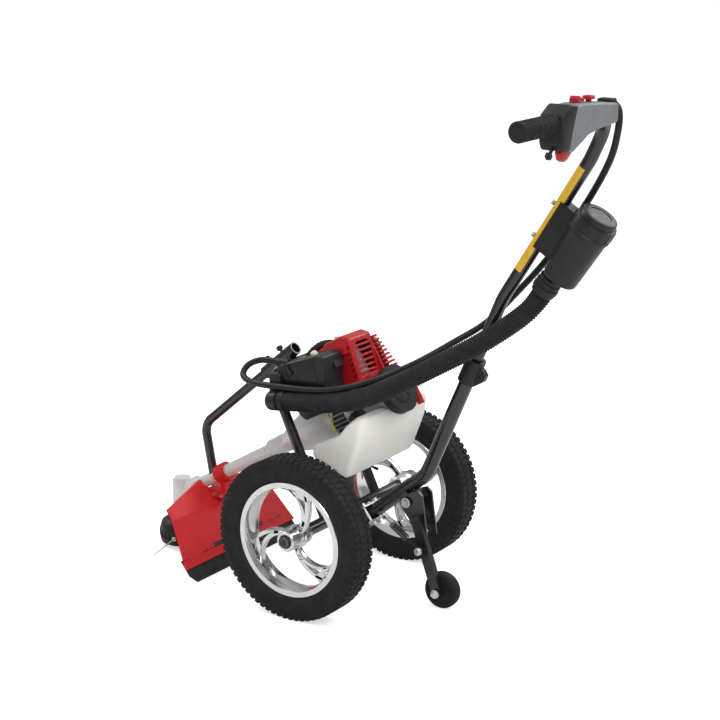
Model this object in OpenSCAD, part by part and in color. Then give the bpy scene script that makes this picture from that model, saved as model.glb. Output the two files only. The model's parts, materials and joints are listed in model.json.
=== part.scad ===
// Wheeled string trimmer: chassis, petrol engine, drive tube, cutter head, guard, push handle and stand.
// X is right, Y forward, Z up, in millimetres. The origin is on the ground under the middle of the machine.

/* [Wheels] */
// Distance between the two wheel centre planes
track = 388; // [376:1:410]
// Tyre outside diameter
tyre_d = 317; // [310:1:322]
// Tyre width over the shoulder blocks
tyre_w = 57; // [53:1:62]
// Height of the tread blocks
tread_h = 7; // [4:0.5:9]
// Number of tread blocks in each row
tread_count = 44; // [30:1:52]
// Tyre wall thickness
tyre_wall = 6; // [4:0.5:8]
// Rim flange diameter
rim_flange_d = 226; // [216:1:234]
// Rim width over the flanges
rim_w = 46; // [42:1:48]
// Rim wall thickness
rim_wall = 6; // [4:0.5:8]
// Height of the rim flange above the bead seat
rim_flange_h = 9; // [6:0.5:11]
// Spoke thickness along the axle
spoke_t = 14; // [10:1:20]
// Width of each spoke rib
spoke_rib = 9; // [6:0.5:11]
// Number of swirl spokes
spoke_count = 3; // [3:1:5]
// Hub outside diameter
hub_d = 40; // [36:1:46]
// Hub length
hub_len = 64; // [58:1:68]
// Axle rod diameter
axle_d = 12; // [10:0.5:14]
// Wheel bearing outside diameter
bearing_d = 28; // [25:0.5:31]
// Wheel bearing width
bearing_w = 8; // [6:0.5:10]

/* [Frame] */
// Axle beam tube diameter
beam_d = 25; // [22:0.5:28]
// Axle beam length
beam_len = 314; // [304:1:318]
// Wall of the frame tubes
frame_wall = 2; // [1.5:0.5:3]
// Hoop tube diameter
hoop_d = 20; // [18:0.5:22]
// Distance between the hoop legs
hoop_w = 180; // [174:1:186]
// Hoop height along its legs
hoop_h = 310; // [306:1:316]
// Corner radius of the hoop
hoop_r = 45; // [38:1:52]
// Forward lean of the hoop
hoop_lean = 25; // [24:0.5:26]
// Width of the engine post
post_w = 26; // [22:1:30]
// Depth of the engine post
post_t = 20; // [16:1:24]
// Sleeve outside diameter
sleeve_d = 27; // [25:0.5:30]
// Sleeve length
sleeve_len = 96; // [90:1:104]
// Adjuster rod diameter
adjuster_d = 19; // [17:0.5:20]
// Diameter of the open socket at the rear of the sleeve
socket_d = 21; // [20.5:0.5:23]
// Depth of the open socket
socket_depth = 24; // [18:1:28]
// Thumb screw knob diameter
knob_d = 13; // [11:0.5:16]

/* [Handle] */
// Lower handle tube diameter
lower_d = 28; // [27:0.5:30]
// Upper handle tube diameter
upper_d = 24; // [22:0.5:24.5]
// Wall of the upper handle tube
upper_wall = 2; // [1.5:0.5:3]
// Run of the lower tube from the axle to its bend
low_run = 198; // [192:1:204]
// Run from the lower bend to the kink
mid_run = 398; // [390:1:410]
// Run from the kink to the top bend
up_run = 313; // [306:1:325]
// Run from the top bend to the grip arm
top_run = 96; // [90:1:104]
// Lean of the lowest run
lean_low = 50.7; // [50:0.1:51.5]
// Lean of the middle run
lean_mid = 23.5; // [23:0.1:24]
// Lean of the upper run
lean_up = 32; // [31.5:0.1:32.5]
// Lean of the top run
lean_top = 24.6; // [24:0.1:25.2]
// Reach of the grip arm to the left
arm_reach = 340; // [334:1:350]
// Grip outside diameter
grip_d = 35; // [33:0.5:38]
// Length of the handle clamp
collar_len = 50; // [44:1:56]
// Handle clamp outside diameter
collar_d = 38; // [36:0.5:42]
// Diameter of the hole through the clamp ear
ear_hole_d = 6.5; // [5:0.5:8]

/* [Throttle] */
// Depth of the throttle housing from front to back
shell_t = 44; // [40:1:50]
// Throttle trigger width
trigger_w = 12; // [9:0.5:14]
// Length of the throttle trigger from its pivot
trigger_len = 62; // [56:1:66]
// Throttle cable loom diameter
cable_d = 11; // [8:0.5:11.5]

/* [Air filter] */
// Bowl diameter at its closed end
bowl_d0 = 64; // [60:1:68]
// Bowl diameter at its mouth
bowl_d1 = 76; // [72:1:78]
// Bowl length
bowl_len = 115; // [108:1:122]
// Lid diameter
lid_d = 80; // [79:0.5:84]
// Lid height
lid_h = 30; // [24:1:36]
// Distance from the handle tube to the filter axis
filter_off = 70; // [67:1:74]
// Place of the filter along the upper run
filter_s = 173; // [168:1:178]
// Outside diameter of the hose ribs
hose_d = 39; // [37:0.5:40]
// Hose bore
hose_bore = 31; // [29:0.5:32]
// Number of hose ribs
hose_ribs = 110; // [60:1:140]

/* [Engine] */
// Height of the engine axis above the axle at its reference point
engine_rise = 241.5; // [239:0.5:244]
// Distance of the engine reference point behind the axle
engine_back = 70; // [68:0.5:72]
// Forward tilt of the engine and drive axis
engine_tilt = 30; // [29.8:0.1:30.2]
// Cylinder bore
cyl_bore = 40; // [36:0.5:42]
// Piston stroke
stroke = 34; // [30:1:36]
// Connecting rod length between centres
rod_len = 70; // [68:1:72]
// Number of cooling fins
fin_count = 8; // [5:1:8]
// Thickness of each cooling fin
fin_t = 2.5; // [2:0.5:3.5]
// Width of the top shroud
shroud_w = 75; // [72:1:78]
// Wall of the plastic covers
cover_wall = 2.5; // [2:0.5:3]
// Starter cover diameter
starter_d = 96; // [90:1:100]
// Large diameter of the clutch housing
clutch_d0 = 92; // [88:1:96]
// Small diameter of the clutch housing
clutch_d1 = 40; // [38.5:0.5:44]
// Number of slots round the clutch housing
clutch_slots = 12; // [8:1:14]
// Clutch drum diameter
drum_d = 60; // [56:1:62]

/* [Fuel tank] */
// Fuel tank width
tank_w = 240; // [230:1:244]
// Fuel tank wall
tank_wall = 3; // [2:0.5:4]
// Fuel cap diameter
cap_d = 34; // [30:1:38]

/* [Drive] */
// Drive tube diameter
drive_d = 26; // [25:0.5:27]
// Drive tube wall
drive_wall = 2; // [1.5:0.5:2.5]
// Drive shaft diameter
shaft_d = 8; // [7:0.5:9]
// Distance along the axis from the engine reference point to the bevel apex
apex_run = 575; // [572:1:580]
// Outer cone distance of the bevel pair
cone_out = 22; // [21:0.5:22]
// Face width of the bevel pair
cone_face = 8; // [6:0.5:8]
// Output shaft diameter
output_d = 10; // [9:0.5:10.5]

/* [Cutter head] */
// Cutter head diameter
head_d = 100; // [92:1:106]
// Height of the cutter head
head_h = 72; // [66:1:74]
// Clearance of the cutter head over the ground
head_clear = 5; // [3:0.5:8]
// Cutting line diameter
line_d = 2.4; // [2:0.2:3.2]
// Reach of the cutting line from the head axis
line_reach = 150; // [120:1:154]

/* [Guard] */
// Half width of the guard along its lower edge
guard_half_low = 185; // [178:1:190]
// Half width of the guard along its upper edge
guard_half_top = 152; // [146:1:158]
// Guard sheet thickness
guard_t = 3; // [2.5:0.5:4]
// Thickness of the rubber skirt
skirt_t = 4; // [3:0.5:5]
// Clearance of the skirt over the ground
skirt_clear = 4; // [3:0.5:8]
// Guard clamp diameter
guard_clamp_d = 40; // [37:0.5:44]
// Guard clamp length
guard_clamp_len = 26; // [22:1:30]

/* [Stand] */
// Stand wheel diameter
stand_wheel_d = 72; // [68:1:74]
// Stand wheel width
stand_wheel_w = 24; // [20:1:26]
// Depth of the stand leg
leg_t = 20; // [16:1:22]
// Width of the stand leg
leg_w = 13; // [10:0.5:15]
// Stand pivot bolt diameter
pivot_d = 8; // [6:0.5:9]
// Outside diameter of the stand spring
spring_d = 15; // [12:0.5:16]
// Wire diameter of the stand spring
wire_d = 2; // [1.5:0.1:2.2]
// Number of curls in the stand spring
spring_curls = 15; // [10:1:16]

/* [Hidden] */
pinion_teeth = 12;
gear_teeth = 16;
$fn = 64;

// Fits: overrun of cuts, running fit, slip fit, free gap, and how bent tubes lap and swell at a bend
over = 1;
run_fit = 0.05;
slip_fit = 0.1;
gap = 0.4;
bend_lap = 0.5;
bend_swell = 0.1;

// Directions of a tube that leans back by an angle: along it, and square to it towards the rear
function along(a) = [0, -sin(a), cos(a)];
function aft(a) = [0, -cos(a), -sin(a)];
function unit(v) = v / norm(v);

// Wheel and axle places
axle_z = tyre_d / 2;
bearing_inset = 1;
nut_h = 8;
nut_d = 20;
axle_stub = 3;
shoulder_t = 3;
shoulder_d = axle_d + 2 * shoulder_t;
bearing_in = track / 2 - hub_len / 2 + bearing_inset;
bearing_out = track / 2 + hub_len / 2 - bearing_inset;
axle_half = bearing_out + nut_h + axle_stub;

// Handle corner points
plate_t = 3;
plate_gap = beam_d / 2 + plate_t + lower_d / 2;
axle_p = [0, 0, axle_z];
foot_p = axle_p + aft(lean_low) * plate_gap;
low_p = foot_p + along(lean_low) * low_run;
kink_p = low_p + along(lean_mid) * mid_run;
top_p = kink_p + along(lean_up) * up_run;
arm_p = top_p + along(lean_top) * top_run;
low_bend_r = 60;
kink_bend_r = 150;
top_bend_r = 120;
arm_bend_r = 60;
low_start = 8;
lower_top = 227;
tube_overlap = 80;

// Engine, gear and cutter places
engine_p = [0, -engine_back, axle_z + engine_rise];
drive_dir = [0, cos(engine_tilt), -sin(engine_tilt)];
apex_p = engine_p + drive_dir * apex_run;
head_y = apex_p.y;
front_y = head_y + head_d / 2;
rear_y = arm_p.y - shell_t / 2;

// The seat puts the origin under the middle of the whole machine
seat_p = [(arm_reach - axle_half) / 2, -(front_y + rear_y) / 2, 0];
module seat() {
    translate(seat_p) children();
}
module at_engine() {
    seat() translate(engine_p) rotate([-engine_tilt, 0, 0]) children();
}
module at_run(p, lean) {
    seat() translate(p) rotate([lean, 0, 0]) children();
}

// Wheel details
rib_inner_share = 0.53;
rib_outer_share = 0.72;
stem_angle = 105;
beam_plug = 12;

// Post, sleeve and adjuster rod
post_y = 12;
post_top = engine_rise - (engine_back + post_y) * tan(engine_tilt);
sleeve_lean = 50;
sleeve_rear = 17;
weld_sink = 1;
adjuster_run = 477;
adjuster_lean = -10.6;
adjuster_bend_r = 38;
function cross_yz(u, v) = u.y * v.z - u.z * v.y;
hoop_top_p = axle_p + along(-hoop_lean) * hoop_h;
sleeve_near_p = hoop_top_p - aft(sleeve_lean) * (sleeve_d / 2 + hoop_d / 2 - weld_sink);
adjuster_p = engine_p + drive_dir * adjuster_run;
adjuster_low = cross_yz(sleeve_near_p - adjuster_p, along(sleeve_lean))
    / cross_yz(along(adjuster_lean), along(sleeve_lean));
adjuster_corner = adjuster_p + along(adjuster_lean) * adjuster_low;
sleeve_s = norm(sleeve_near_p - adjuster_corner) + sleeve_rear - sleeve_len;
sleeve_p = adjuster_corner + along(sleeve_lean) * sleeve_s;
screw_places = [22, 62];
screw_d = 6;
screw_stand = 3;
knob_h = 9;

// Handle details
plug_t = 5;
plug_slack = 0.4;
plug_depth = 14;
collar_s = 215;
ear_s = 25;
ear_hole_back = 23;
ear_back = 32;
ear_lift = 6;
ear_t = 14;
grip_end = 6;
grip_in = 228;
grip_rib = 1.5;
grip_ribs = 9;
grip_pitch = (arm_reach - grip_in - 2 * grip_end) / grip_ribs;

// Throttle details, from the grip arm's corner
trigger_x = -136;
trigger_z = -25;
trigger_slack = 4;
pin_d = 5;
switch_x = -138;
switch_len = 12;
switch_w = 8;
switch_travel = 6;
switch_lift = 1.5;
switch_base = 28.4;
switch_top = 35;
lock_x = -95;
lock_travel = 3.5;
block_in = 36;
block_out = 14;
block_w = 28;
block_low = -2;
block_top = 24;
adjust_x = 216;
adjust_z = 36;
adjust_tilt = 50;
adjust_d = 6;
adjust_out = 22;
adjust_len = 32;
adjust_head = 9;

// Air filter and intake details
neck_d = hose_bore * cos(22.5) - 2 * gap;
neck_off = 13;
neck_len = 24;
neck_shoulder = 6;
hose_lap = neck_len - neck_shoulder - gap;
hose_rib = 2;
lid_lap = 10;
lid_step_share = 0.6;
bracket_w = 28;
bracket_len = 100;
filter_bolts = [-36, 36];
filter_bolt_in = 24;
small_bolt_d = 6;
collar_t = 2;
collar_w = 10;
neck_dir = -along(lean_up);
neck_end = kink_p + along(lean_up) * (filter_s - (bowl_len + lid_h) / 2 - neck_len)
    + aft(lean_up) * (filter_off - neck_off);
horn_dip = 6.5;
horn_dir = [0, cos(horn_dip), -sin(horn_dip)];
horn_p = [-124, 66, axle_z + 240];
horn_len = 24;
hose_points = [[-16, -372, 596], [-40, -306, 545], [-72, -230, 498], [-100, -160, 457], [-116, -90, 424],
    [-123, -20, 408]];
cable_start = arm_p + [-block_out, -4, 12];
cable_points = [[17, -540, 974], [18, -538, 940], [30, -520, 890], [45, -480, 824], [47, -436, 758], [45,
    -390, 692],
    [38, -336, 628], [20, -286, 571], [-18, -232, 530], [-60, -180, 494], [-98, -112, 459], [-118, -40, 436],
    [-126, 25, 428], [-127, 80, 425], [-122, 130, 422], [-110, 168, 421], [-97, 190, 428], [-85, 186, 444],
    [-78, 164, 455], [-76, 140, 457.5], [-76, 121, 457.5]];
cable_rings = 78;
gland_t = 2;

// Stand details
pivot_s = 137;
pivot_drop = 10;
pivot_y = -lower_d / 2 - pivot_drop;
boss_d = 18;
boss_half = 15;
anchor_out = 26;
anchor_y = -9;
anchor_s = 70;
anchor_d = 5;
anchor_hook_share = 0.85;
stand_x = -4;
stand_back = 73;
leg_back = 14;
leg_rise = -24;
wing_t = 4;
web_s = 22;
stub_s = 88;
stub_out = 40;
stub_d = 7;
spring_pitch = 3;
pivot_p = foot_p + along(lean_low) * pivot_s - aft(lean_low) * pivot_y;
leg_p = pivot_p + [0, -leg_back, 0];
stand_c = [stand_x, pivot_p.y - stand_back, stand_wheel_d / 2];
leg_dir = unit([0, stand_c.y - leg_p.y, stand_c.z - leg_p.z]);
leg_len = norm([0, stand_c.y - leg_p.y, stand_c.z - leg_p.z]);
leg_a = atan2(-leg_dir.y, -leg_dir.z);
leg_x1 = stand_x - stand_wheel_w / 2 - over;
leg_x0 = leg_x1 - leg_w;

// Engine places along the tilted axis, from the reference point
case_d = 76;
case_y0 = -30;
case_gap = 3;
clutch_y0 = 60;
clutch_y1 = 175;
nose_y1 = 302;
nose_wall = 6;
nose_d = drive_d + 2 * nose_wall;
clutch_wall = 3;
drive_y0 = 176;
drive_y1 = apex_run - 34;
cyl_y = 6;
cyl_wall = 5;
rod_t = 12;
web_t = 10;
crank_web_d = 52;
journal_d = 12;
crank_pin_d = 14;
big_end_d = 22;
gudgeon_d = 10;
piston_skirt = 14;
piston_top = 17;
pin_z = stroke / 2 + rod_len;
deck_z = pin_z + piston_top + over;
head_z = 130;
fin_w = 56;
fin_pitch = 10;
web_y0 = cyl_y - rod_t / 2 - over - web_t;
web_y1 = cyl_y + rod_t / 2 + over + web_t;
plug_p = [-4, 26, 137];
plug_dir = unit([-42, 48, 23]);
plug_boss_d = 16;
boot_d = 15;
boot_len = 62;
flywheel_d = 80;
flywheel_t = 16;
shoe_y = 84;
shoe_t = 14;
stud_d = 6;
drum_y0 = 82;
drum_y1 = 104;
drum_wall = 2.5;
shroud_x0 = -40;
shroud_y0 = -28;
shroud_y1 = 38;
shroud_z1 = 150;
shroud_chamfer = 22;
slot_count = 6;
slot_h = 6;
slot_pitch = 10;
port_z = 100;
port_y = 24;
port_d = 18;
cover_x0 = -112;
cover_x1 = -45;
carb_x0 = -78;
carb_x1 = -48;
carb_half = 16;
muffler_x1 = 86;
muffler_half = 26;
starter_t = 18;
starter_post_r = 33;
starter_post_d = 10;
pull_y = -38;
pull_z = -22;
pull_d = 4;
pull_in = 24;
pull_out = 56;
pull_grip_d = 14;
pull_grip_len = 44;
choke_p = [cover_x0, 92, 112];
choke_len = 26;
choke_d = 7;
choke_t = 4;
tank_notch = 4;
cap_x = -80;
cap_h = 16;
cap_neck = 6;
cap_neck_share = 0.7;
cap_p = [cap_x, -72, axle_z + 215.5];
cap_lean = -53;

// Gear head places, from the bevel apex
bevel_sum = 90 - engine_tilt;
pinion_cone = atan2(sin(bevel_sum), gear_teeth / pinion_teeth + cos(bevel_sum));
gear_cone = bevel_sum - pinion_cone;
tooth_rise_share = 0.8;
tooth_rise = atan(2 * sin(pinion_cone) / pinion_teeth * tooth_rise_share);
tooth_root = atan(2 * sin(pinion_cone) / pinion_teeth);
tooth_foot_share = 0.52;
tooth_tip_share = 0.22;
barrel_d = 38;
barrel_len = 52;
body_d = 42;
body_low = 20;
body_top = 27;
cap_boss_d = 35;
cap_boss_top = 34.5;
gear_room_d = 31;
gear_room_low = 2;
gear_room_top = 21.5;
pinion_room_d = 24;
pinion_room = 25;
race_d = 22;
race_t = 7;
flange_d = 36;
flange_t = 4;
head_top = head_clear + head_h;
line_angle = 194.4;
line_z = 25;
line_in = 30;

// Guard places, from the bevel apex and the ground
fold_back = 91;
fold_z = 115;
gable_back = 59;
gable_z = 154;
gable_half = 18;
side_z = 132;
low_back = 156;
low_z = 30;
guard_slope_share = 1.3;
guard_shift = guard_t * guard_slope_share;
skirt_lap = 14;
skirt_corner = 12;
guard_run = 448;
arm_w = 24;
arm_z0 = 122;
arm_z1 = 138;
arm_block = 160;
guard_bolts = [-4, 14];
guard_bolt_d = 5;
fold_p = [head_y - fold_back, fold_z];
gable_p = [head_y - gable_back, gable_z];
low_edge = [head_y - low_back, low_z];
function panel_y(z) = low_edge.x + (z - low_edge.y) * (fold_p.x - low_edge.x) / (fold_p.y - low_edge.y);

// Basic shapes on the axes
module box(lo, hi) {
    translate(lo) cube(hi - lo);
}
module rod_x(d, x0, x1) {
    translate([x0, 0, 0]) rotate([0, 90, 0]) cylinder(d = d, h = x1 - x0);
}
module rod_y(d, y0, y1) {
    translate([0, y0, 0]) rotate([-90, 0, 0]) cylinder(d = d, h = y1 - y0);
}
module cone_y(d0, d1, y0, y1) {
    translate([0, y0, 0]) rotate([-90, 0, 0]) cylinder(d1 = d0, d2 = d1, h = y1 - y0);
}
module hex_x(d, x0, x1) {
    translate([x0, 0, 0]) rotate([0, 90, 0]) cylinder(d = d, h = x1 - x0, $fn = 6);
}
module prism_x(points, x0, x1) {
    translate([x0, 0, 0]) rotate(a = 120, v = [1, 1, 1]) linear_extrude(x1 - x0) polygon(points);
}
module prism_y(points, y0, y1) {
    translate([0, y1, 0]) rotate([90, 0, 0]) linear_extrude(y1 - y0) polygon(points);
}
module ring_z(d, bore, h) {
    difference() {
        cylinder(d = d, h = h);
        translate([0, 0, -over]) cylinder(d = bore, h = h + 2 * over);
    }
}

// An outline moved in by a wall, its points running anticlockwise
function left_of(u) = [-u.y, u.x];
function inset(p, w) = [for (i = [0:len(p) - 1]) let (
    n = left_of(unit(p[i] - p[(i + len(p) - 1) % len(p)])),
    m = left_of(unit(p[(i + 1) % len(p)] - p[i])))
    p[i] + (n + m) * w / (1 + n * m)];

// A run of bent tube: straight legs and turns, each carrying what follows it
module leg(d, bore, l) {
    translate([0, 0, -bend_lap]) {
        if (bore > 0) ring_z(d, bore, l + 2 * bend_lap);
        else cylinder(d = d, h = l + 2 * bend_lap);
    }
    translate([0, 0, l]) children();
}
module turn(d, bore, r, a) {
    s = sign(a);
    mirror([0, s < 0 ? 1 : 0, 0]) translate([0, -r, 0]) rotate(a = 120, v = [1, 1, 1])
        rotate_extrude(angle = abs(a)) translate([r, 0]) difference() {
            circle(d = d + 2 * bend_swell);
            if (bore > 0) circle(d = bore - 2 * bend_swell);
        }
    translate([0, -s * r * (1 - cos(a)), r * sin(abs(a))]) rotate([a, 0, 0]) children();
}
function bend_run(r, a) = r * tan(abs(a) / 2);

// Swept tubes: a smooth route through chosen points, rings along it, and the mesh
function blend(a, b, c, d, t) = (2 * b + (c - a) * t + (2 * a - 5 * b + 4 * c - d) * t * t
    + (3 * b - a - 3 * c + d) * t * t * t) / 2;
function smooth_route(p, steps) = concat([for (i = [0:len(p) - 2]) for (k = [0:steps - 1])
    blend(p[max(i - 1, 0)], p[i], p[i + 1], p[min(i + 2, len(p) - 1)], k / steps)], [p[len(p) - 1]]);
function run_lengths(p) = [for (i = 0, s = 0; i < len(p);
    i = i + 1, s = s + (i < len(p) ? norm(p[i] - p[i - 1]) : 0)) s];
function even_route(p, count) = let (
    s = run_lengths(p),
    tx = [for (i = [0:len(p) - 1]) [s[i], p[i].x]],
    ty = [for (i = [0:len(p) - 1]) [s[i], p[i].y]],
    tz = [for (i = [0:len(p) - 1]) [s[i], p[i].z]],
    l = s[len(s) - 1])
    [for (k = [0:count]) [lookup(l * k / count, tx), lookup(l * k / count, ty), lookup(l * k / count, tz)]];
function headings(p) = [for (i = [0:len(p) - 1]) unit(p[min(i + 1, len(p) - 1)] - p[max(i - 1, 0)])];
function square_to(n, t) = unit(n - (n * t) * t);
function carried_normals(t) = [for (i = 0, n = square_to([0.3, 0.5, 1], t[0]); i < len(t);
    i = i + 1, n = i < len(t) ? square_to(n, t[i]) : n) n];
function hoops(p, r, sides) = let (t = headings(p), n = carried_normals(t))
    [for (i = [0:len(p) - 1]) let (b = cross(t[i], n[i])) for (k = [0:sides - 1])
        p[i] + r[i] * (cos(360 * k / sides) * n[i] + sin(360 * k / sides) * b)];
function skin(rings, sides, base, inward) = [for (i = [0:rings - 2]) for (k = [0:sides - 1]) let (
    a = base + i * sides + k,
    b = base + i * sides + (k + 1) % sides,
    c = b + sides,
    d = a + sides) each inward ? [[a, b, c], [a, c, d]] : [[a, c, b], [a, d, c]]];
module swept_rod(p, r, sides) {
    n = len(p);
    last = (n - 1) * sides;
    polyhedron(hoops(p, [for (i = [0:n - 1]) r], sides), concat(skin(n, sides, 0, false),
        [for (k = [1:sides - 2]) [0, k, k + 1]],
        [for (k = [1:sides - 2]) [last, last + k + 1, last + k]]));
}
module swept_pipe(p, r, inner_p, inner_r, sides) {
    n = len(p);
    m = len(inner_p);
    base = n * sides;
    last = (n - 1) * sides;
    inner_last = base + (m - 1) * sides;
    polyhedron(concat(hoops(p, r, sides), hoops(inner_p, [for (i = [0:m - 1]) inner_r], sides)),
        concat(skin(n, sides, 0, false), skin(m, sides, base, true),
            [for (k = [0:sides - 1]) let (q = (k + 1) % sides)
                each [[k, q, base + q], [k, base + q, base + k]]],
            [for (k = [0:sides - 1]) let (q = (k + 1) % sides)
                each [[last + q, last + k, inner_last + q], [last + k, inner_last + k, inner_last + q]]]));
}

// Wheel profile values
seat_r = rim_flange_d / 2 - rim_flange_h;
flange_r = rim_flange_d / 2;
crown_r = tyre_d / 2 - tread_h;
shoulder_out = 2;
carcass_half = tyre_w / 2 - shoulder_out;
bead_half = rim_w / 2 - rim_wall / 2;
side_rise = 8;
side_drop = 16;
shoulder_in = 10;
tread_row_w = 15;
tread_row_gap = 3;
tread_sink = 3;
tread_duty_share = 0.6;
stem_d = 8;
stem_len = 34;
stem_in = seat_r - rim_wall - stem_len;
tyre_out = [[seat_r, bead_half], [flange_r, bead_half], [flange_r + side_rise, carcass_half],
    [crown_r - side_drop, carcass_half], [crown_r, carcass_half - shoulder_in]];
tyre_in = [[seat_r, bead_half - tyre_wall], [flange_r, bead_half - tyre_wall],
    [flange_r + side_rise, carcass_half - tyre_wall], [crown_r - side_drop, carcass_half - tyre_wall],
    [crown_r - tyre_wall, carcass_half - shoulder_in - tyre_wall / 2]];
function mirrored(p) = [for (v = p) [v.x, -v.y]];
function reversed(p) = [for (i = [len(p) - 1:-1:0]) p[i]];
module at_wheel(side) {
    seat() translate([side * track / 2, 0, axle_z]) rotate([0, 90 * side, 0]) children();
}

// A row of tread blocks, as one toothed ring
module tread_row(a0, a1, inner_r, turned) {
    step = 360 / tread_count;
    root = crown_r - tread_sink;
    tip = tyre_d / 2;
    translate([0, 0, a0]) rotate(turned) linear_extrude(a1 - a0) difference() {
        polygon([for (i = [0:tread_count - 1]) let (a = i * step, b = a + step * tread_duty_share)
            each [root * [cos(a), sin(a)], tip * [cos(a), sin(a)], tip * [cos(b), sin(b)], root * [cos(b),
                sin(b)]]]);
        circle(r = inner_r);
    }
}
module tyre(side) {
    half = tyre_w / 2;
    row = half - tread_row_w;
    color("#1b1b1c") at_wheel(side) {
        rotate_extrude() polygon(concat(tyre_out, reversed(mirrored(tyre_out)),
            mirrored(tyre_in), reversed(tyre_in)));
        tread_row(row, half, crown_r - side_drop / 2, 0);
        tread_row(-half, -row, crown_r - side_drop / 2, 0);
        tread_row(tread_row_gap - row, row - tread_row_gap, crown_r - tread_sink - over, 180 / tread_count);
        rotate(stem_angle) rotate([0, 90, 0]) translate([0, 0, stem_in]) cylinder(d = stem_d,
            h = seat_r - stem_in);
    }
}
module left_tyre() { tyre(-1); }
module right_tyre() { tyre(1); }

// One curved rib of a swirl spoke, from the hub to the rim
module swirl_rib(r) {
    intersection() {
        translate([r, 0, -spoke_t / 2]) ring_z(2 * r + spoke_rib, 2 * r - spoke_rib, spoke_t);
        translate([-2 * r, 0, -spoke_t]) cube([6 * r, 2 * r, 2 * spoke_t]);
        cylinder(r = seat_r - rim_wall / 2, h = 2 * spoke_t, center = true);
    }
}
module rim(side) {
    half = rim_w / 2;
    color("#d9dadb") at_wheel(side) difference() {
        union() {
            rotate_extrude() polygon([[seat_r - rim_wall, -half], [flange_r, -half], [flange_r, -bead_half],
                [seat_r, -bead_half], [seat_r, bead_half], [flange_r, bead_half], [flange_r, half],
                [seat_r - rim_wall, half]]);
            translate([0, 0, -hub_len / 2]) cylinder(d = hub_d, h = hub_len);
            for (i = [0:spoke_count - 1]) rotate(i * 360 / spoke_count) {
                swirl_rib(seat_r * rib_inner_share);
                swirl_rib(seat_r * rib_outer_share);
            }
        }
        translate([0, 0, -hub_len / 2 - over]) cylinder(d = bearing_d + 2 * run_fit, h = hub_len + 2 * over);
        rotate(stem_angle) rotate([0, 90, 0]) translate([0, 0, stem_in])
            cylinder(d = stem_d + 2 * slip_fit, h = seat_r - stem_in + over);
    }
}
module left_rim() { rim(-1); }
module right_rim() { rim(1); }

// Axle rod with a shoulder inside each wheel, in the beam's end discs
module axle_rod() {
    color("#9a9da0") seat() translate(axle_p) {
        rod_x(axle_d, -axle_half, axle_half);
        for (s = [-1, 1]) mirror([s < 0 ? 1 : 0, 0, 0]) rod_x(shoulder_d, beam_len / 2, bearing_in);
    }
}
module wheel_bearings() {
    color("#b9bcbe") seat() translate(axle_p) for (x = [bearing_in,
        bearing_out - bearing_w]) for (s = [-1, 1])
        mirror([s < 0 ? 1 : 0, 0, 0]) difference() {
            rod_x(bearing_d, x, x + bearing_w);
            rod_x(axle_d, x - over, x + bearing_w + over);
        }
}
module axle_beam() {
    color("#161617") seat() translate(axle_p) difference() {
        rod_x(beam_d, -beam_len / 2, beam_len / 2);
        rod_x(axle_d + 2 * slip_fit, -beam_len / 2 - over, beam_len / 2 + over);
        rod_x(beam_d - 2 * frame_wall, beam_plug - beam_len / 2, beam_len / 2 - beam_plug);
    }
}

// Hoop: one bent tube from side to side, with the adjuster sleeve welded on its top bar
module hoop_tube() {
    straight = hoop_h - hoop_r;
    bore = hoop_d - 2 * frame_wall;
    at_run(axle_p, -hoop_lean) translate([-hoop_w / 2, 0, 0]) rotate(90)
        leg(hoop_d, bore, straight) turn(hoop_d, bore, hoop_r, 90)
        leg(hoop_d, bore, hoop_w - 2 * hoop_r) turn(hoop_d, bore, hoop_r, 90) leg(hoop_d, bore, straight);
}
module frame_hoop() {
    color("#161617") difference() {
        union() {
            hoop_tube();
            at_run(sleeve_p, sleeve_lean) cylinder(d = sleeve_d, h = sleeve_len);
        }
        seat() translate(axle_p) rod_x(beam_d, -beam_len / 2, beam_len / 2);
        at_run(sleeve_p, sleeve_lean) {
            translate([0, 0, -over]) cylinder(d = adjuster_d + 2 * slip_fit, h = sleeve_len + 2 * over);
            translate([0, 0, sleeve_len - socket_depth]) cylinder(d = socket_d, h = socket_depth + over);
            for (z = screw_places) translate([0, 0, z]) rod_y(screw_d + 2 * run_fit, 0, sleeve_d / 2 + over);
        }
    }
}
module adjuster_rod() {
    end_z = sleeve_s + sleeve_len - socket_depth - gap;
    bend = bend_run(adjuster_bend_r, sleeve_lean - adjuster_lean);
    color("#161617") difference() {
        at_run(adjuster_p, adjuster_lean) leg(adjuster_d, 0, adjuster_low - bend)
            turn(adjuster_d, 0, adjuster_bend_r, sleeve_lean - adjuster_lean)
            leg(adjuster_d, 0, end_z - bend);
        at_engine() rod_y(drive_d, drive_y0, drive_y1);
    }
}
module thumb_screw(z) {
    color("#1d1d1e") at_run(sleeve_p, sleeve_lean) translate([0, 0, z]) {
        rod_y(screw_d, adjuster_d / 2 + gap, sleeve_d / 2 + screw_stand);
        rod_y(knob_d, sleeve_d / 2 + screw_stand - gap, sleeve_d / 2 + screw_stand + knob_h);
    }
}
module front_thumb_screw() { thumb_screw(screw_places[0]); }
module rear_thumb_screw() { thumb_screw(screw_places[1]); }
module engine_post() {
    color("#161617") difference() {
        seat() box([-post_w / 2, post_y - post_t / 2, axle_z], [post_w / 2, post_y + post_t / 2,
            axle_z + post_top]);
        seat() translate(axle_p) rod_x(beam_d, -beam_len / 2, beam_len / 2);
        at_engine() clutch_outer(0);
    }
}

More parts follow.
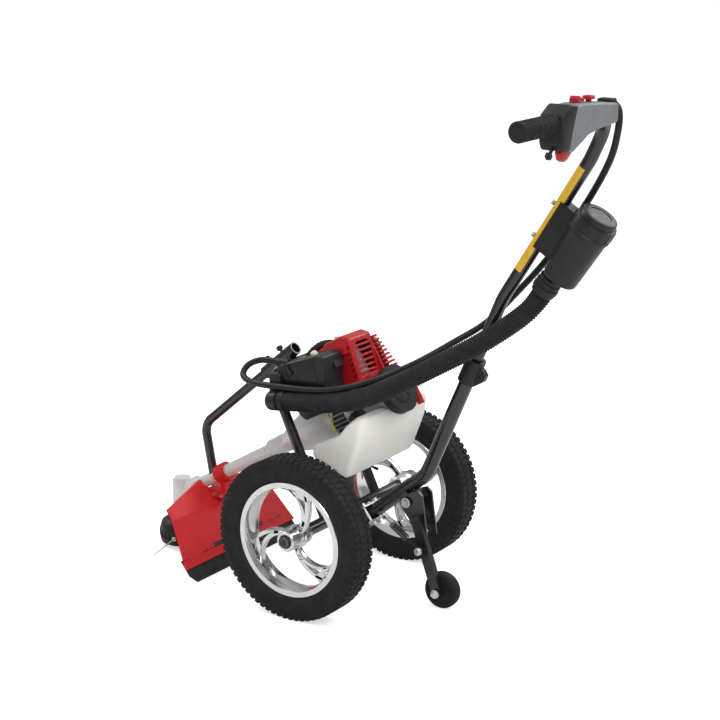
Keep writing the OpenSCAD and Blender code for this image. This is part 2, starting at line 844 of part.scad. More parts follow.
// Handle: lower tube with the stand lug, upper tube with the grip arm
module handle_lower_tube() {
    bore = upper_d + 2 * slip_fit;
    bend = bend_run(low_bend_r, lean_mid - lean_low);
    color("#161617") {
        difference() {
            union() {
                at_run(foot_p + along(lean_low) * (low_start + bend_lap), lean_low)
                    leg(lower_d, bore, low_run - low_start - bend_lap - bend)
                    turn(lower_d, bore, low_bend_r, lean_mid - lean_low) leg(lower_d, bore,
                        lower_top - bend - bend_lap);
                at_run(foot_p, lean_low) difference() {
                    union() {
                        translate([0, pivot_y, pivot_s]) rod_x(boss_d, -boss_half, boss_half);
                        box([-boss_half, pivot_y, pivot_s - boss_d / 2], [boss_half, 0,
                            pivot_s + boss_d / 2]);
                        translate([-anchor_out, anchor_y, anchor_s]) rod_x(anchor_d, 0, anchor_out);
                    }
                    translate([0, 0, low_start]) cylinder(d = (lower_d + bore) / 2, h = low_run);
                }
            }
            at_run(foot_p, lean_low) translate([0, pivot_y, pivot_s])
                rod_x(pivot_d + 2 * run_fit, -boss_half - over, boss_half + over);
        }
    }
}
module tube_end_plug() {
    color("#1d1d1e") at_run(foot_p + along(lean_low) * (low_start - plug_t), lean_low) {
        cylinder(d = lower_d - plug_slack, h = plug_t);
        cylinder(d = upper_d, h = plug_t + plug_depth);
    }
}
module upper_path(d, bore) {
    bend_kink = bend_run(kink_bend_r, lean_up - lean_mid);
    bend_top = bend_run(top_bend_r, lean_top - lean_up);
    start = lower_top - tube_overlap;
    at_run(low_p + along(lean_mid) * start, lean_mid) leg(d, bore, mid_run - start - bend_kink)
        turn(d, bore, kink_bend_r, lean_up - lean_mid) leg(d, bore, up_run - bend_kink - bend_top)
        turn(d, bore, top_bend_r, lean_top - lean_up) leg(d, bore, top_run - bend_top - arm_bend_r)
        rotate(-90) turn(d, bore, arm_bend_r, 90) leg(d, bore, arm_reach - arm_bend_r - grip_end - bend_lap);
}
module handle_upper_tube() {
    color("#161617") difference() {
        upper_path(upper_d, upper_d - 2 * upper_wall);
        at_filter_tube() for (z = filter_bolts) translate([0, 0, z])
            rod_y(small_bolt_d + 2 * slip_fit, -upper_d, upper_d);
    }
}
module handle_clamp() {
    hole_y = -ear_hole_back;
    color("#232324") at_run(low_p + along(lean_mid) * collar_s, lean_mid) difference() {
        union() {
            cylinder(d = collar_d, h = collar_len);
            prism_x([[0, ear_lift], [hole_y, ear_lift], [-ear_back, ear_s - ear_hole_d], [-ear_back,
                ear_s + ear_hole_d],
                [hole_y, ear_s + 2 * ear_hole_d], [0, collar_len - ear_lift]], -ear_t / 2, ear_t / 2);
        }
        translate([0, 0, -over]) cylinder(d = lower_d + 2 * slip_fit, h = lower_top - collar_s + over);
        cylinder(d = upper_d + 2 * slip_fit, h = collar_len + over);
        translate([0, hole_y, ear_s]) rod_x(ear_hole_d, -ear_t, ear_t);
    }
}
module at_arm() {
    seat() translate(arm_p) children();
}
module grip_rubber() {
    color("#1a1a1b") at_arm() difference() {
        union() {
            rod_x(grip_d - 2 * grip_rib, -arm_reach, -grip_in);
            rod_x(grip_d, -arm_reach, grip_end - arm_reach);
            for (i = [0:grip_ribs - 1]) translate([-grip_in - (i + 1) * grip_pitch, 0, 0])
                rod_x(grip_d, 0, grip_pitch / 2);
        }
        rod_x(upper_d + 2 * slip_fit, grip_end - arm_reach, over - grip_in);
    }
}

// Throttle housing: two shells, trigger, stop switch and lock button
shell_size = 100;
inner_shares = [[-0.22, -0.22], [-0.22, 0.2], [-0.6, 0.22], [-1.6, 0.28], [-1.72, 0.26], [-2, -0.46],
    [-1.86, -0.48], [-1.5, -0.34], [-1.32, -0.26], [-0.9, -0.22]];
outer_shares = [[-1.72, 0.26], [-1.98, 0.31], [-2.28, 0.14], [-2.28, -0.3], [-2.22, -0.42], [-2, -0.46]];
module shell_cuts() {
    upper_path(upper_d + 2 * slip_fit, 0);
    at_arm() {
        box([trigger_x - trigger_len - 2 * trigger_slack, -trigger_w / 2 - gap, -2 * shell_t],
            [trigger_x + 2 * trigger_slack, trigger_w / 2 + gap, -upper_d / 2]);
        translate([trigger_x, 0, trigger_z]) rod_y(pin_d + 2 * run_fit, -trigger_w, trigger_w);
        box([switch_x - switch_len / 2 - switch_travel - gap, -switch_w / 2 - gap, upper_d / 2],
            [switch_x + switch_len / 2 + gap, switch_w / 2 + gap, shell_t]);
        box([lock_x - switch_w / 2 - gap, -switch_w / 2 - gap, upper_d / 2],
            [lock_x + switch_w / 2 + gap, switch_w / 2 + gap, shell_t]);
    }
}
module throttle_inner_shell() {
    color("#8b8d90") difference() {
        at_arm() {
            prism_y(inner_shares * shell_size, -shell_t / 2, shell_t / 2);
            box([-block_in, -block_w / 2, block_low], [-block_out, block_w / 2, block_top]);
        }
        shell_cuts();
        seat() translate(cable_start) rod_x(cable_d + 2 * gap, -cable_d / 4, over);
    }
}
module throttle_outer_shell() {
    color("#1d1d1e") difference() {
        at_arm() prism_y(outer_shares * shell_size, -shell_t / 2, shell_t / 2);
        shell_cuts();
        at_arm() translate([-adjust_x, 0, -adjust_z]) rotate([0, adjust_tilt, 0])
            translate([0, 0, -adjust_out]) cylinder(d = adjust_d + 2 * slip_fit, h = adjust_len);
    }
}
trigger_shares = [[0.08, -0.1], [0.08, 0.08], [-0.32, 0], [-0.73, -0.15], [-1, -0.23], [-1, -0.35],
    [-0.81, -0.44],
    [-0.48, -0.35], [-0.16, -0.16]];
module throttle_trigger() {
    color("#c4161c") at_arm() translate([trigger_x, 0, trigger_z]) {
        prism_y(trigger_shares * trigger_len, -trigger_w / 2, trigger_w / 2);
        rod_y(pin_d, gap - trigger_w, trigger_w - gap);
    }
}
module stop_switch() {
    color("#c4161c") at_arm() {
        box([switch_x - switch_len / 2, -switch_w / 2, upper_d / 2 + switch_lift],
            [switch_x + switch_len / 2, switch_w / 2, switch_top]);
        box([switch_x - switch_len, -switch_w, switch_base], [switch_x + switch_len, switch_w, switch_top]);
        translate([switch_x - switch_len / 2, 0, switch_top]) rod_y(switch_w, -switch_w, switch_w);
    }
}
module lock_button() {
    color("#c4161c") at_arm() {
        box([lock_x - switch_w / 2, -switch_w / 2, upper_d / 2 + lock_travel + 2 * gap],
            [lock_x + switch_w / 2, switch_w / 2, switch_top]);
        box([lock_x - switch_w, -switch_w, switch_base + gap], [lock_x + switch_w, switch_w, switch_top]);
    }
}

// Air filter: bowl with its neck, lid, and the bracket between bowl and handle tube
module at_filter_tube() {
    at_run(kink_p + along(lean_up) * filter_s, lean_up) children();
}
module at_filter() {
    at_run(kink_p + along(lean_up) * filter_s + aft(lean_up) * filter_off, lean_up)
        translate([0, 0, -(bowl_len + lid_h) / 2]) children();
}
module filter_bowl() {
    color("#1d1d1e") at_filter() difference() {
        union() {
            cylinder(d1 = bowl_d0, d2 = bowl_d1, h = bowl_len);
            translate([0, neck_off, -neck_len]) cylinder(d = neck_d, h = neck_len + cover_wall);
            translate([0, neck_off, -neck_shoulder]) cylinder(d = hose_d, h = neck_shoulder + cover_wall);
        }
        translate([0, 0, cover_wall]) cylinder(d1 = bowl_d0 - 2 * cover_wall,
            d2 = bowl_d1 - 2 * cover_wall, h = bowl_len);
        translate([0, neck_off, -neck_len - over]) cylinder(d = neck_d - 2 * cover_wall,
            h = neck_len + 2 * cover_wall + over);
    }
}
module filter_lid() {
    color("#1d1d1e") at_filter() translate([0, 0, bowl_len]) difference() {
        union() {
            translate([0, 0, -lid_lap]) cylinder(d = lid_d, h = lid_h * lid_step_share + lid_lap);
            cylinder(d = lid_d - lid_h / 3, h = lid_h);
        }
        translate([0, 0, -lid_lap - over]) cylinder(d = bowl_d1 + 2 * slip_fit, h = lid_lap + over);
        translate([0, 0, -over]) cylinder(d = bowl_d1 - 2 * cover_wall,
            h = lid_h * lid_step_share - cover_wall + over);
    }
}
module filter_bracket() {
    color("#1d1d1e") difference() {
        at_filter_tube() difference() {
            box([-bracket_w / 2, -filter_off, -bracket_len / 2], [bracket_w / 2, 0, bracket_len / 2]);
            cylinder(d = upper_d, h = 2 * bracket_len, center = true);
        }
        at_filter() cylinder(d1 = bowl_d0, d2 = bowl_d1, h = bowl_len);
        at_filter() translate([0, 0, bowl_len - lid_lap - gap]) cylinder(d = lid_d + gap, h = lid_h);
        at_filter_tube() for (z = filter_bolts) translate([0, 0, z])
            rod_y(small_bolt_d + 2 * slip_fit, -filter_bolt_in - over, 0);
    }
}

// Soft runs: intake hose, throttle cable and stand spring
hose_way = smooth_route(concat([neck_end - neck_dir * hose_lap, neck_end, neck_end + neck_dir * hose_d],
    hose_points,
    [horn_p - horn_dir * hose_d, horn_p, horn_p + horn_dir * hose_lap]), 6);
module intake_hose() {
    way = even_route(hose_way, 2 * hose_ribs);
    bore_way = even_route(hose_way, ceil(hose_ribs / 2));
    valley = hose_d / 2 - hose_rib;
    color("#19191a") seat() swept_pipe(way, [for (i = [0:len(way) - 1]) i % 2 == 0 ? valley : hose_d / 2],
        bore_way, hose_bore / 2, 8);
}
module hose_collars() {
    color("#1d1d1e") {
        seat() translate(neck_end - neck_dir * hose_lap) rotate([180 + lean_up, 0,
            0]) ring_z(hose_d + 2 * collar_t + gap, hose_d + gap, collar_w);
        seat() translate(horn_p) rotate([-90 - horn_dip, 0, 0])
            ring_z(hose_d + 2 * collar_t + gap, hose_d + gap, collar_w);
    }
}
module throttle_cable() {
    color("#19191a") seat() swept_rod(even_route(smooth_route(concat([cable_start, cable_start + [cable_d,
        0, 0]],
        cable_points), 8), cable_rings), cable_d / 2, 8);
}
spring_r = (spring_d - wire_d) / 2;
spring_top = foot_p + along(lean_low) * anchor_s - aft(lean_low)
    * anchor_y + [-anchor_out * anchor_hook_share, 0, 0];
spring_low = leg_p + leg_dir * stub_s - [stub_out, 0, 0];
spring_dir = unit(spring_low - spring_top);
spring_clear = (anchor_d + wire_d) / 2 + gap;
spring_span = norm(spring_low - spring_top) - 2 * spring_clear;
spring_body = spring_curls * spring_pitch;
spring_side = square_to([1, 0, 0], spring_dir);
function spring_at(a, z) = let (r = spring_r * min(1, a / 180, (spring_curls * 360 - a) / 180))
    spring_top + spring_dir * (spring_clear + z) + r * (cos(a) * spring_side + sin(a) * cross(spring_dir,
        spring_side));
spring_lead = (spring_span - spring_body) / 2;
spring_wire = concat([spring_at(0, 0), spring_at(0, spring_lead / 2)],
    [for (k = [0:spring_curls * 8]) spring_at(k * 45, spring_lead + spring_body * k / (spring_curls * 8))],
    [spring_at(0, spring_span - spring_lead / 2), spring_at(0, spring_span)]);
echo(stand_spring_least_gap = min([for (i = [0:len(spring_wire) - 7]) for (j = [i + 6:len(spring_wire) - 1])
    norm(spring_wire[i] - spring_wire[j])]) - wire_d);
module stand_spring() {
    color("#2a2a2b") seat() swept_rod(spring_wire, wire_d / 2, 6);
}

// Engine: crankcase, cylinder, running gear and covers, along the tilted axis
module clutch_outer(grow) {
    cone_y(clutch_d0 + 2 * grow, clutch_d1 + 2 * grow, clutch_y0, clutch_y1);
    rod_y(nose_d + 2 * grow, clutch_y1 - over, nose_y1);
}
module crankcase() {
    color("#a6a8aa") at_engine() difference() {
        union() {
            rod_y(case_d, case_y0, clutch_y0);
            box([-case_d / 2, case_y0, 0], [case_d / 2, clutch_y0, case_d / 2]);
        }
        rod_y(crank_web_d + 2 * case_gap, web_y0 - case_gap, web_y1 + case_gap);
        rod_y(journal_d + 2 * slip_fit, case_y0 - over, clutch_y0 + over);
        translate([0, cyl_y, 0]) cylinder(d = cyl_bore + 2 * slip_fit, h = case_d);
    }
}
module cylinder_block() {
    color("#a6a8aa") at_engine() translate([0, cyl_y, 0]) difference() {
        union() {
            translate([0, 0, case_d / 2]) cylinder(d = cyl_bore + 2 * cyl_wall, h = head_z - case_d / 2);
            for (i = [0:fin_count - 1]) translate([-fin_w / 2, -fin_w / 2, head_z - fin_t - i * fin_pitch])
                cube([fin_w, fin_w, fin_t]);
            translate(plug_p - [0, cyl_y, 0] - plug_dir * plug_boss_d) rotate(plug_turn) rotate([0,
                plug_dip, 0])
                cylinder(d = plug_boss_d, h = plug_boss_d);
        }
        translate([0, 0, case_d / 2 - over]) cylinder(d = cyl_bore + 2 * slip_fit,
            h = deck_z - case_d / 2 + over);
    }
}
module piston_and_rod() {
    color("#b9bcbe") at_engine() translate([0, cyl_y, 0]) difference() {
        union() {
            translate([0, 0, pin_z - piston_skirt]) ring_z(cyl_bore, cyl_bore - cyl_wall,
                piston_skirt + piston_top / 2);
            translate([0, 0, pin_z + piston_top / 2]) cylinder(d = cyl_bore, h = piston_top / 2);
            translate([0, 0, pin_z]) rod_y(gudgeon_d, -cyl_bore / 2 + over, cyl_bore / 2 - over);
            box([-gudgeon_d / 2, -rod_t / 2, stroke / 2], [gudgeon_d / 2, rod_t / 2, pin_z]);
            translate([0, 0, stroke / 2]) rod_y(big_end_d, -rod_t / 2, rod_t / 2);
        }
        translate([0, 0, stroke / 2]) rod_y(crank_pin_d + 2 * slip_fit, -rod_t, rod_t);
    }
}
module crankshaft() {
    color("#8f9295") at_engine() {
        rod_y(journal_d, case_y0 - starter_t + clutch_wall + over, cyl_y - rod_t / 2 - over);
        rod_y(journal_d, cyl_y + rod_t / 2 + over, shoe_y);
        rod_y(crank_web_d, web_y0, web_y0 + web_t);
        rod_y(crank_web_d, web_y1 - web_t, web_y1);
        translate([0, 0, stroke / 2]) rod_y(crank_pin_d, web_y0, web_y1);
    }
}
module flywheel() {
    color("#8f9295") at_engine() difference() {
        union() {
            rod_y(flywheel_d, clutch_y0 + case_gap, clutch_y0 + case_gap + flywheel_t / 2);
            rod_y(flywheel_d / 2, clutch_y0 + case_gap, clutch_y0 + case_gap + flywheel_t);
            for (i = [0:7]) rotate([0, i * 45, 0]) box([flywheel_d / 4 - over, clutch_y0 + case_gap, -over],
                [flywheel_d / 2 - 2 * over, clutch_y0 + case_gap + flywheel_t, over]);
            for (s = [-1, 1]) translate([s * drum_d / 4, 0, 0]) rod_y(stud_d, clutch_y0 + case_gap,
                shoe_y + shoe_t);
        }
        rod_y(journal_d + 2 * slip_fit, clutch_y0, shoe_y);
    }
}
module clutch_shoes() {
    color("#6f7276") at_engine() for (s = [-1, 1]) difference() {
        intersection() {
            rod_y(drum_d - 2 * drum_wall - 2 * case_gap, shoe_y, shoe_y + shoe_t);
            mirror([s < 0 ? 1 : 0, 0, 0]) box([stud_d / 2, shoe_y - over, -drum_d], [drum_d,
                shoe_y + shoe_t + over, drum_d]);
        }
        translate([s * drum_d / 4, 0, 0]) rod_y(stud_d + 2 * slip_fit, shoe_y - over, shoe_y + shoe_t + over);
    }
}
module clutch_drum() {
    color("#9a9da0") at_engine() {
        difference() {
            rod_y(drum_d, drum_y0, drum_y1);
            rod_y(drum_d - 2 * drum_wall, drum_y0 - over, drum_y1 - drum_wall);
        }
    }
}
module drive_shaft() {
    color("#9a9da0") at_engine() {
        rod_y(shaft_d, drum_y1, apex_run - cone_out * cos(pinion_cone));
        translate([0, apex_run, 0]) rotate([90, 0, 0]) rotate(180 / pinion_teeth) bevel(pinion_teeth,
            pinion_cone);
    }
}
module muffler() {
    color("#3a3b3d") at_engine() {
        box([shroud_x0 + shroud_w + gap, cyl_y - muffler_half, port_z - muffler_half],
            [muffler_x1, cyl_y + muffler_half, port_z + muffler_half]);
        translate([0, cyl_y, port_z]) rod_x(port_d, fin_w / 2 + gap, shroud_x0 + shroud_w + over);
        translate([muffler_x1 - port_d, 0, port_z - muffler_half / 2]) rod_y(port_d / 2, cyl_y,
            cyl_y + muffler_half + port_d / 2);
    }
}
shroud_outline = [[shroud_y0, case_d / 2], [shroud_y1, case_d / 2], [shroud_y1,
    shroud_z1 - shroud_chamfer / 2],
    [shroud_y1 - shroud_chamfer / 2, shroud_z1], [shroud_y0 + shroud_chamfer, shroud_z1],
    [shroud_y0, shroud_z1 - shroud_chamfer]];
module top_shroud() {
    x1 = shroud_x0 + shroud_w;
    color("#b3161b") at_engine() difference() {
        prism_x(shroud_outline, shroud_x0, x1);
        for (z = [0, -2 * cover_wall]) translate([0, 0, z])
            prism_x(inset(shroud_outline, cover_wall), shroud_x0 + cover_wall, x1 - cover_wall);
        for (i = [0:slot_count - 1]) translate([0, 0, shroud_z1 - shroud_chamfer - i * slot_pitch])
            box([shroud_x0 - over, shroud_y0 + shroud_chamfer / 2, -slot_h], [shroud_x0 + 2 * cover_wall,
                port_y - port_d / 2 - slot_h, 0]);
        for (i = [0:slot_count - 1]) translate([0, 0, shroud_z1 - shroud_chamfer - i * slot_pitch])
            box([shroud_x0 + shroud_chamfer / 2, shroud_y0 - over, -slot_h], [x1 - shroud_chamfer / 2,
                shroud_y0 + 2 * cover_wall, 0]);
        translate([0, port_y, port_z]) rod_x(port_d + 2 * gap, shroud_x0 - over, 0);
        translate([0, cyl_y, port_z]) rod_x(port_d + 2 * gap, 0, x1 + over);
        translate(plug_p) rotate(plug_turn) rotate([0, plug_dip, 0]) cylinder(d = boot_d + 2 * over,
            h = boot_len);
    }
}
plug_turn = atan2(plug_dir.y, plug_dir.x);
plug_dip = acos(plug_dir.z);
module plug_boot() {
    color("#1d1d1e") at_engine() translate(plug_p) rotate(plug_turn) rotate([0, plug_dip, 0]) {
        cylinder(d = boot_d, h = boot_len);
        translate([0, 0, boot_len]) cylinder(d = boot_d * 2 / 3, h = boot_d / 2);
    }
}

// Intake cover with the hose horn, and the carburettor inside it
cover_size = 100;
cover_shares = [[0.08, 0.66], [0.6, 0.8], [1.3, 1.04], [1.3, 1.4], [1.04, 1.5], [0.08, 1.5]];
cover_outline = cover_shares * cover_size;
module intake_cover() {
    horn_in = horn_p + horn_dir * (hose_lap + gap);
    color("#232425") difference() {
        union() {
            at_engine() difference() {
                prism_x(cover_outline, cover_x0, cover_x1);
                prism_x(inset(cover_outline, cover_wall), cover_x0 + cover_wall, cover_x1 + over);
            }
            at_engine() translate([0, carb_y, port_z]) rod_x(carb_half, cover_x0 + cover_wall / 2, carb_x0);
            seat() translate(horn_p) rotate([-90 - horn_dip, 0, 0]) cylinder(d = neck_d,
                h = hose_lap + horn_len);
            seat() translate(horn_in) rotate([-90 - horn_dip, 0, 0]) cylinder(d = hose_d, h = horn_len);
            seat() box([cover_x0 - horn_len / 4, horn_in.y + hose_d * sin(horn_dip), horn_in.z],
                [cover_x0 + horn_len / 3, horn_in.y + horn_len, horn_in.z + 2 * horn_len]);
            seat() translate([cable_end.x, 0, cable_end.z]) rod_y(cable_d + 2 * gland_t,
                cable_end.y - horn_len, cable_end.y);
        }
        seat() translate(horn_p - horn_dir) rotate([-90 - horn_dip, 0, 0])
            cylinder(d = neck_d - 2 * cover_wall, h = hose_lap + horn_len - cover_wall);
        at_engine() translate(choke_p) rod_x(choke_d + 2 * run_fit, -over, 2 * cover_wall);
    }
}
cable_end = cable_points[len(cable_points) - 1];
carb_y = port_y + carb_half / 4;
module carburettor() {
    color("#a6a8aa") at_engine() {
        box([carb_x0, carb_y - carb_half, port_z - carb_half], [carb_x1, carb_y + carb_half,
            port_z + carb_half]);
        translate([0, port_y, port_z]) rod_x(port_d, carb_x1 - over, -fin_w / 2 - gap);
    }
}
module choke_lever() {
    color("#1d1d1e") at_engine() translate(choke_p) {
        rod_x(choke_d, -choke_t, 2 * cover_wall);
        box([-gap - choke_t, -choke_d / 2, 0], [-gap, choke_d / 2, choke_len]);
        rod_x(choke_d + choke_t, -gap - choke_t, -gap);
    }
}

// Fuel tank under the engine, notched for the post and hollowed to seat on the crankcase
tank_size = 100;
tank_shares = [[0.18, 1.36], [0.18, 1.45], [0.1, 1.5], [-0.52, 1.8], [-0.6, 2], [-0.84, 2.32], [-0.9,
    2.3], [-0.92, 2.22], [-0.83, 1.87], [-0.64, 1.09], [-0.56, 1.03], [0.12, 1.3]];
tank_outline = tank_shares * tank_size;
module tank_saddle() {
    at_engine() {
        rod_y(case_d + 2 * gap, case_y0, clutch_y0);
        clutch_outer(gap);
        rod_y(starter_d + 2 * gap, case_y0 - starter_t - over, case_y0);
    }
}
module at_cap() {
    seat() translate(cap_p) rotate([cap_lean, 0, 0]) children();
}
module fuel_tank() {
    notch = post_w / 2 + tank_notch;
    color("#e9e7df") difference() {
        union() {
            difference() {
                seat() translate(axle_p) prism_x(tank_outline, -tank_w / 2, tank_w / 2);
                for (s = [-1, 1]) seat() translate(axle_p) prism_x(inset(tank_outline, tank_wall),
                    s > 0 ? starter_d / 2 + 2 * tank_wall : -tank_w / 2 + tank_wall,
                    s > 0 ? tank_w / 2 - tank_wall : -starter_d / 2 - 2 * tank_wall);
            }
            at_cap() translate([0, 0, -tank_wall]) cylinder(d = cap_d * cap_neck_share,
                h = cap_neck + tank_wall);
        }
        tank_saddle();
        seat() box([-notch, post_y - post_t / 2 - tank_notch, 0], [notch, engine_back, 2 * axle_z]);
        at_cap() translate([0, 0, -2 * cap_neck]) cylinder(d = cap_d * cap_neck_share - 2 * tank_wall,
            h = 4 * cap_neck);
    }
}
module fuel_cap() {
    color("#1d1d1e") at_cap() translate([0, 0, gap]) difference() {
        cylinder(d = cap_d, h = cap_h);
        translate([0, 0, -over]) cylinder(d = cap_d * cap_neck_share + 2 * gap, h = cap_neck + over);
    }
}

// Recoil starter
module starter_cover() {
    y0 = case_y0 - starter_t;
    color("#232425") at_engine() difference() {
        union() {
            difference() {
                rod_y(starter_d, y0, case_y0);
                rod_y(starter_d - 2 * cover_wall, y0 + cover_wall, case_y0 + over);
            }
            for (a = [45, 165, 285]) rotate([0, -a, 0]) translate([starter_post_r, 0, 0])
                rod_y(starter_post_d, y0 + cover_wall / 2, case_y0);
        }
        translate([0, pull_y, pull_z]) rod_x(pull_d + 2 * gap, 0, starter_d);
    }
}
module starter_grip() {
    color("#c4161c") at_engine() translate([0, pull_y, pull_z]) {
        rod_x(pull_d, -pull_in, pull_out);
        translate([pull_out, 0, -pull_grip_len / 2]) cylinder(d = pull_grip_d, h = pull_grip_len);
    }
}

// Clutch housing, drive tube, gear head
module clutch_housing() {
    w = 2 * clutch_wall;
    web = drum_y1 + clutch_wall;
    color("#a6a8aa") at_engine() difference() {
        clutch_outer(0);
        difference() {
            cone_y(clutch_d0 - w, clutch_d1 - w, clutch_y0, clutch_y1 - w);
            rod_y(clutch_d0, web, web + race_t);
        }
        rod_y(clutch_d0 - w, clutch_y0 - over, clutch_y0 + over);
        for (i = [0:clutch_slots - 1]) rotate([0, i * 360 / clutch_slots, 0])
            box([drum_d / 2 + 2 * gap, clutch_y0 + w, -clutch_wall], [clutch_d0, drum_y1 - clutch_wall,
                clutch_wall]);
        rod_y(drive_d + 2 * slip_fit, drive_y0, nose_y1 + over);
        rod_y(drive_d - 2 * drive_wall, clutch_y1 - 2 * w, nose_y1);
        rod_y(race_d, drum_y1, web + race_t + over);
    }
}
module drive_tube() {
    color("#dcdddd") at_engine() difference() {
        rod_y(drive_d, drive_y0, drive_y1);
        rod_y(drive_d - 2 * drive_wall, drive_y0 - over, drive_y1 + over);
    }
}
module race(d, y0, bore) {
    difference() {
        rod_y(d, y0, y0 + race_t);
        rod_y(bore + 2 * run_fit, y0 - over, y0 + race_t + over);
    }
}
module shaft_bearings() {
    color("#b9bcbe") {
        at_engine() race(race_d, drum_y1 + clutch_wall, shaft_d);
        at_engine() race(race_d, drive_y1 + over, shaft_d);
        at_apex() translate([0, 0, gear_room_top]) rotate([90, 0, 0]) race(race_d, 0, output_d);
        at_apex() translate([0, 0, -body_low]) rotate([90, 0, 0]) race(race_d, 0, output_d);
    }
}
module at_apex() {
    seat() translate(apex_p) children();
}
module gearbox_case() {
    color("#b4b6b6") difference() {
        union() {
            at_engine() rod_y(barrel_d, apex_run - barrel_len, apex_run);
            at_apex() translate([0, 0, -body_low]) cylinder(d = body_d, h = body_low + body_top + over);
            at_apex() cylinder(d = cap_boss_d, h = cap_boss_top);
        }
        at_engine() rod_y(drive_d + 2 * slip_fit, apex_run - barrel_len - over, drive_y1);
        at_engine() rod_y(race_d, drive_y1 - over, apex_run - pinion_room + over);
        at_engine() rod_y(pinion_room_d, apex_run - pinion_room, apex_run - gear_room_low);
        at_apex() translate([0, 0, -gear_room_low]) cylinder(d = gear_room_d,
            h = gear_room_low + gear_room_top);
        at_apex() translate([0, 0, gear_room_top - over]) cylinder(d = race_d, h = race_t + over);
        at_apex() translate([0, 0, -body_low - over]) cylinder(d = race_d, h = race_t + over);
        at_apex() translate([0, 0, -body_low]) cylinder(d = output_d + 2 * over, h = body_low);
    }
}

// Straight bevel teeth that all run to the apex
module bevel(teeth, cone) {
    far = cone_out * cos(cone);
    near = (cone_out - cone_face) * cos(cone);
    tip = far * tan(cone + tooth_rise);
    root = far * tan(cone - tooth_root);
    step = 360 / teeth;
    foot = step * tooth_foot_share / 2;
    top = step * tooth_tip_share / 2;
    translate([0, 0, far]) mirror([0, 0, 1]) linear_extrude(far - near, scale = near / far)
        polygon([for (i = [0:teeth - 1]) let (a = i * step) each [root * [cos(a - foot), sin(a - foot)],
            tip * [cos(a - top), sin(a - top)], tip * [cos(a + top), sin(a + top)],
            root * [cos(a + foot), sin(a + foot)]]]);
}
module output_gear() {
    shaft_low = head_top - flange_d - apex_p.z;
    color("#9a9da0") at_apex() {
        translate([0, 0, shaft_low]) cylinder(d = output_d, h = gear_room_top + race_t - gap - shaft_low);
        translate([0, 0, head_top - apex_p.z]) cylinder(d = flange_d, h = flange_t);
        bevel(gear_teeth, gear_cone);
    }
}
head_shares = [[0, 0], [0.8, 0], [0.96, 0.07], [1, 0.24], [1, 0.5], [0.92, 0.66], [0.68, 0.78], [0.6, 1],
    [0, 1]];
module at_head() {
    seat() translate([0, head_y, head_clear]) children();
}
module trimmer_head() {
    color("#1d1d1e") at_head() difference() {
        rotate_extrude() polygon([for (p = head_shares) [p.x * head_d / 2, p.y * head_h]]);
        translate([0, 0, head_h - flange_d]) cylinder(d = output_d, h = head_h);
        translate([0, 0, line_z - head_clear]) for (s = [0, 180]) rotate(line_angle + s)
            rod_x(line_d + 2 * slip_fit, line_in, head_d);
    }
}
module cutting_line() {
    color("#f0f0ee") at_head() translate([0, 0, line_z - head_clear]) for (s = [0,
        180]) rotate(line_angle + s)
        rod_x(line_d, line_in, line_reach);
}

// Guard panel, its rubber skirt and the clamp that holds it to the drive tube
function shifted(p, y) = [p.x + y, p.y];
module guard_front(grow) {
    seat() prism_x([gable_p, fold_p, low_edge, shifted(low_edge, grow), shifted(fold_p, grow),
        shifted(gable_p, grow)],
        -guard_half_low, guard_half_low);
}
module guard() {
    color("#cf171d") difference() {
        intersection() {
            guard_front(guard_shift);
            seat() prism_y([[-guard_half_low, low_z - over], [-guard_half_top, side_z], [-gable_half,
                gable_z],
                [gable_half, gable_z], [guard_half_top, side_z], [guard_half_low, low_z - over]], 0,
                    2 * head_y);
        }
        at_engine() rod_y(drive_d + 2 * gap, drive_y0, drive_y1);
    }
}
module guard_skirt() {
    top = low_z + skirt_lap;
    half = guard_half_low - skirt_lap * (guard_half_low - guard_half_top) / (side_z - low_z);
    color("#19191a") intersection() {
        seat() translate([0, guard_shift, 0]) prism_x([[panel_y(top), top], [panel_y(skirt_clear),
            skirt_clear],
            [panel_y(skirt_clear) + skirt_t, skirt_clear], [panel_y(top) + skirt_t, top]], -half, half);
        seat() prism_y([[-half, top + over], [-half, skirt_clear + skirt_corner], [skirt_corner - half,
            skirt_clear - over],
            [half - skirt_corner, skirt_clear - over], [half, skirt_clear + skirt_corner], [half,
                top + over]], 0, 2 * head_y);
    }
}
clamp_c = engine_p + drive_dir * guard_run;
module guard_clamp() {
    color("#cf171d") difference() {
        union() {
            at_engine() rod_y(guard_clamp_d, guard_run - guard_clamp_len / 2,
                guard_run + guard_clamp_len / 2);
            seat() box([-arm_w / 2, clamp_c.y - guard_clamp_len / 2, arm_z0], [arm_w / 2, head_y, arm_z1]);
            seat() box([-arm_w / 2, clamp_c.y - guard_clamp_len / 2, arm_z0], [arm_w / 2, clamp_c.y,
                arm_block]);
        }
        at_engine() rod_y(drive_d, drive_y0, drive_y1);
        guard_front(head_y);
        seat() for (y = guard_bolts) translate([0, clamp_c.y + y, (arm_z0 + arm_z1) / 2])
            rod_x(guard_bolt_d + 2 * slip_fit, -arm_w, arm_w);
    }
}

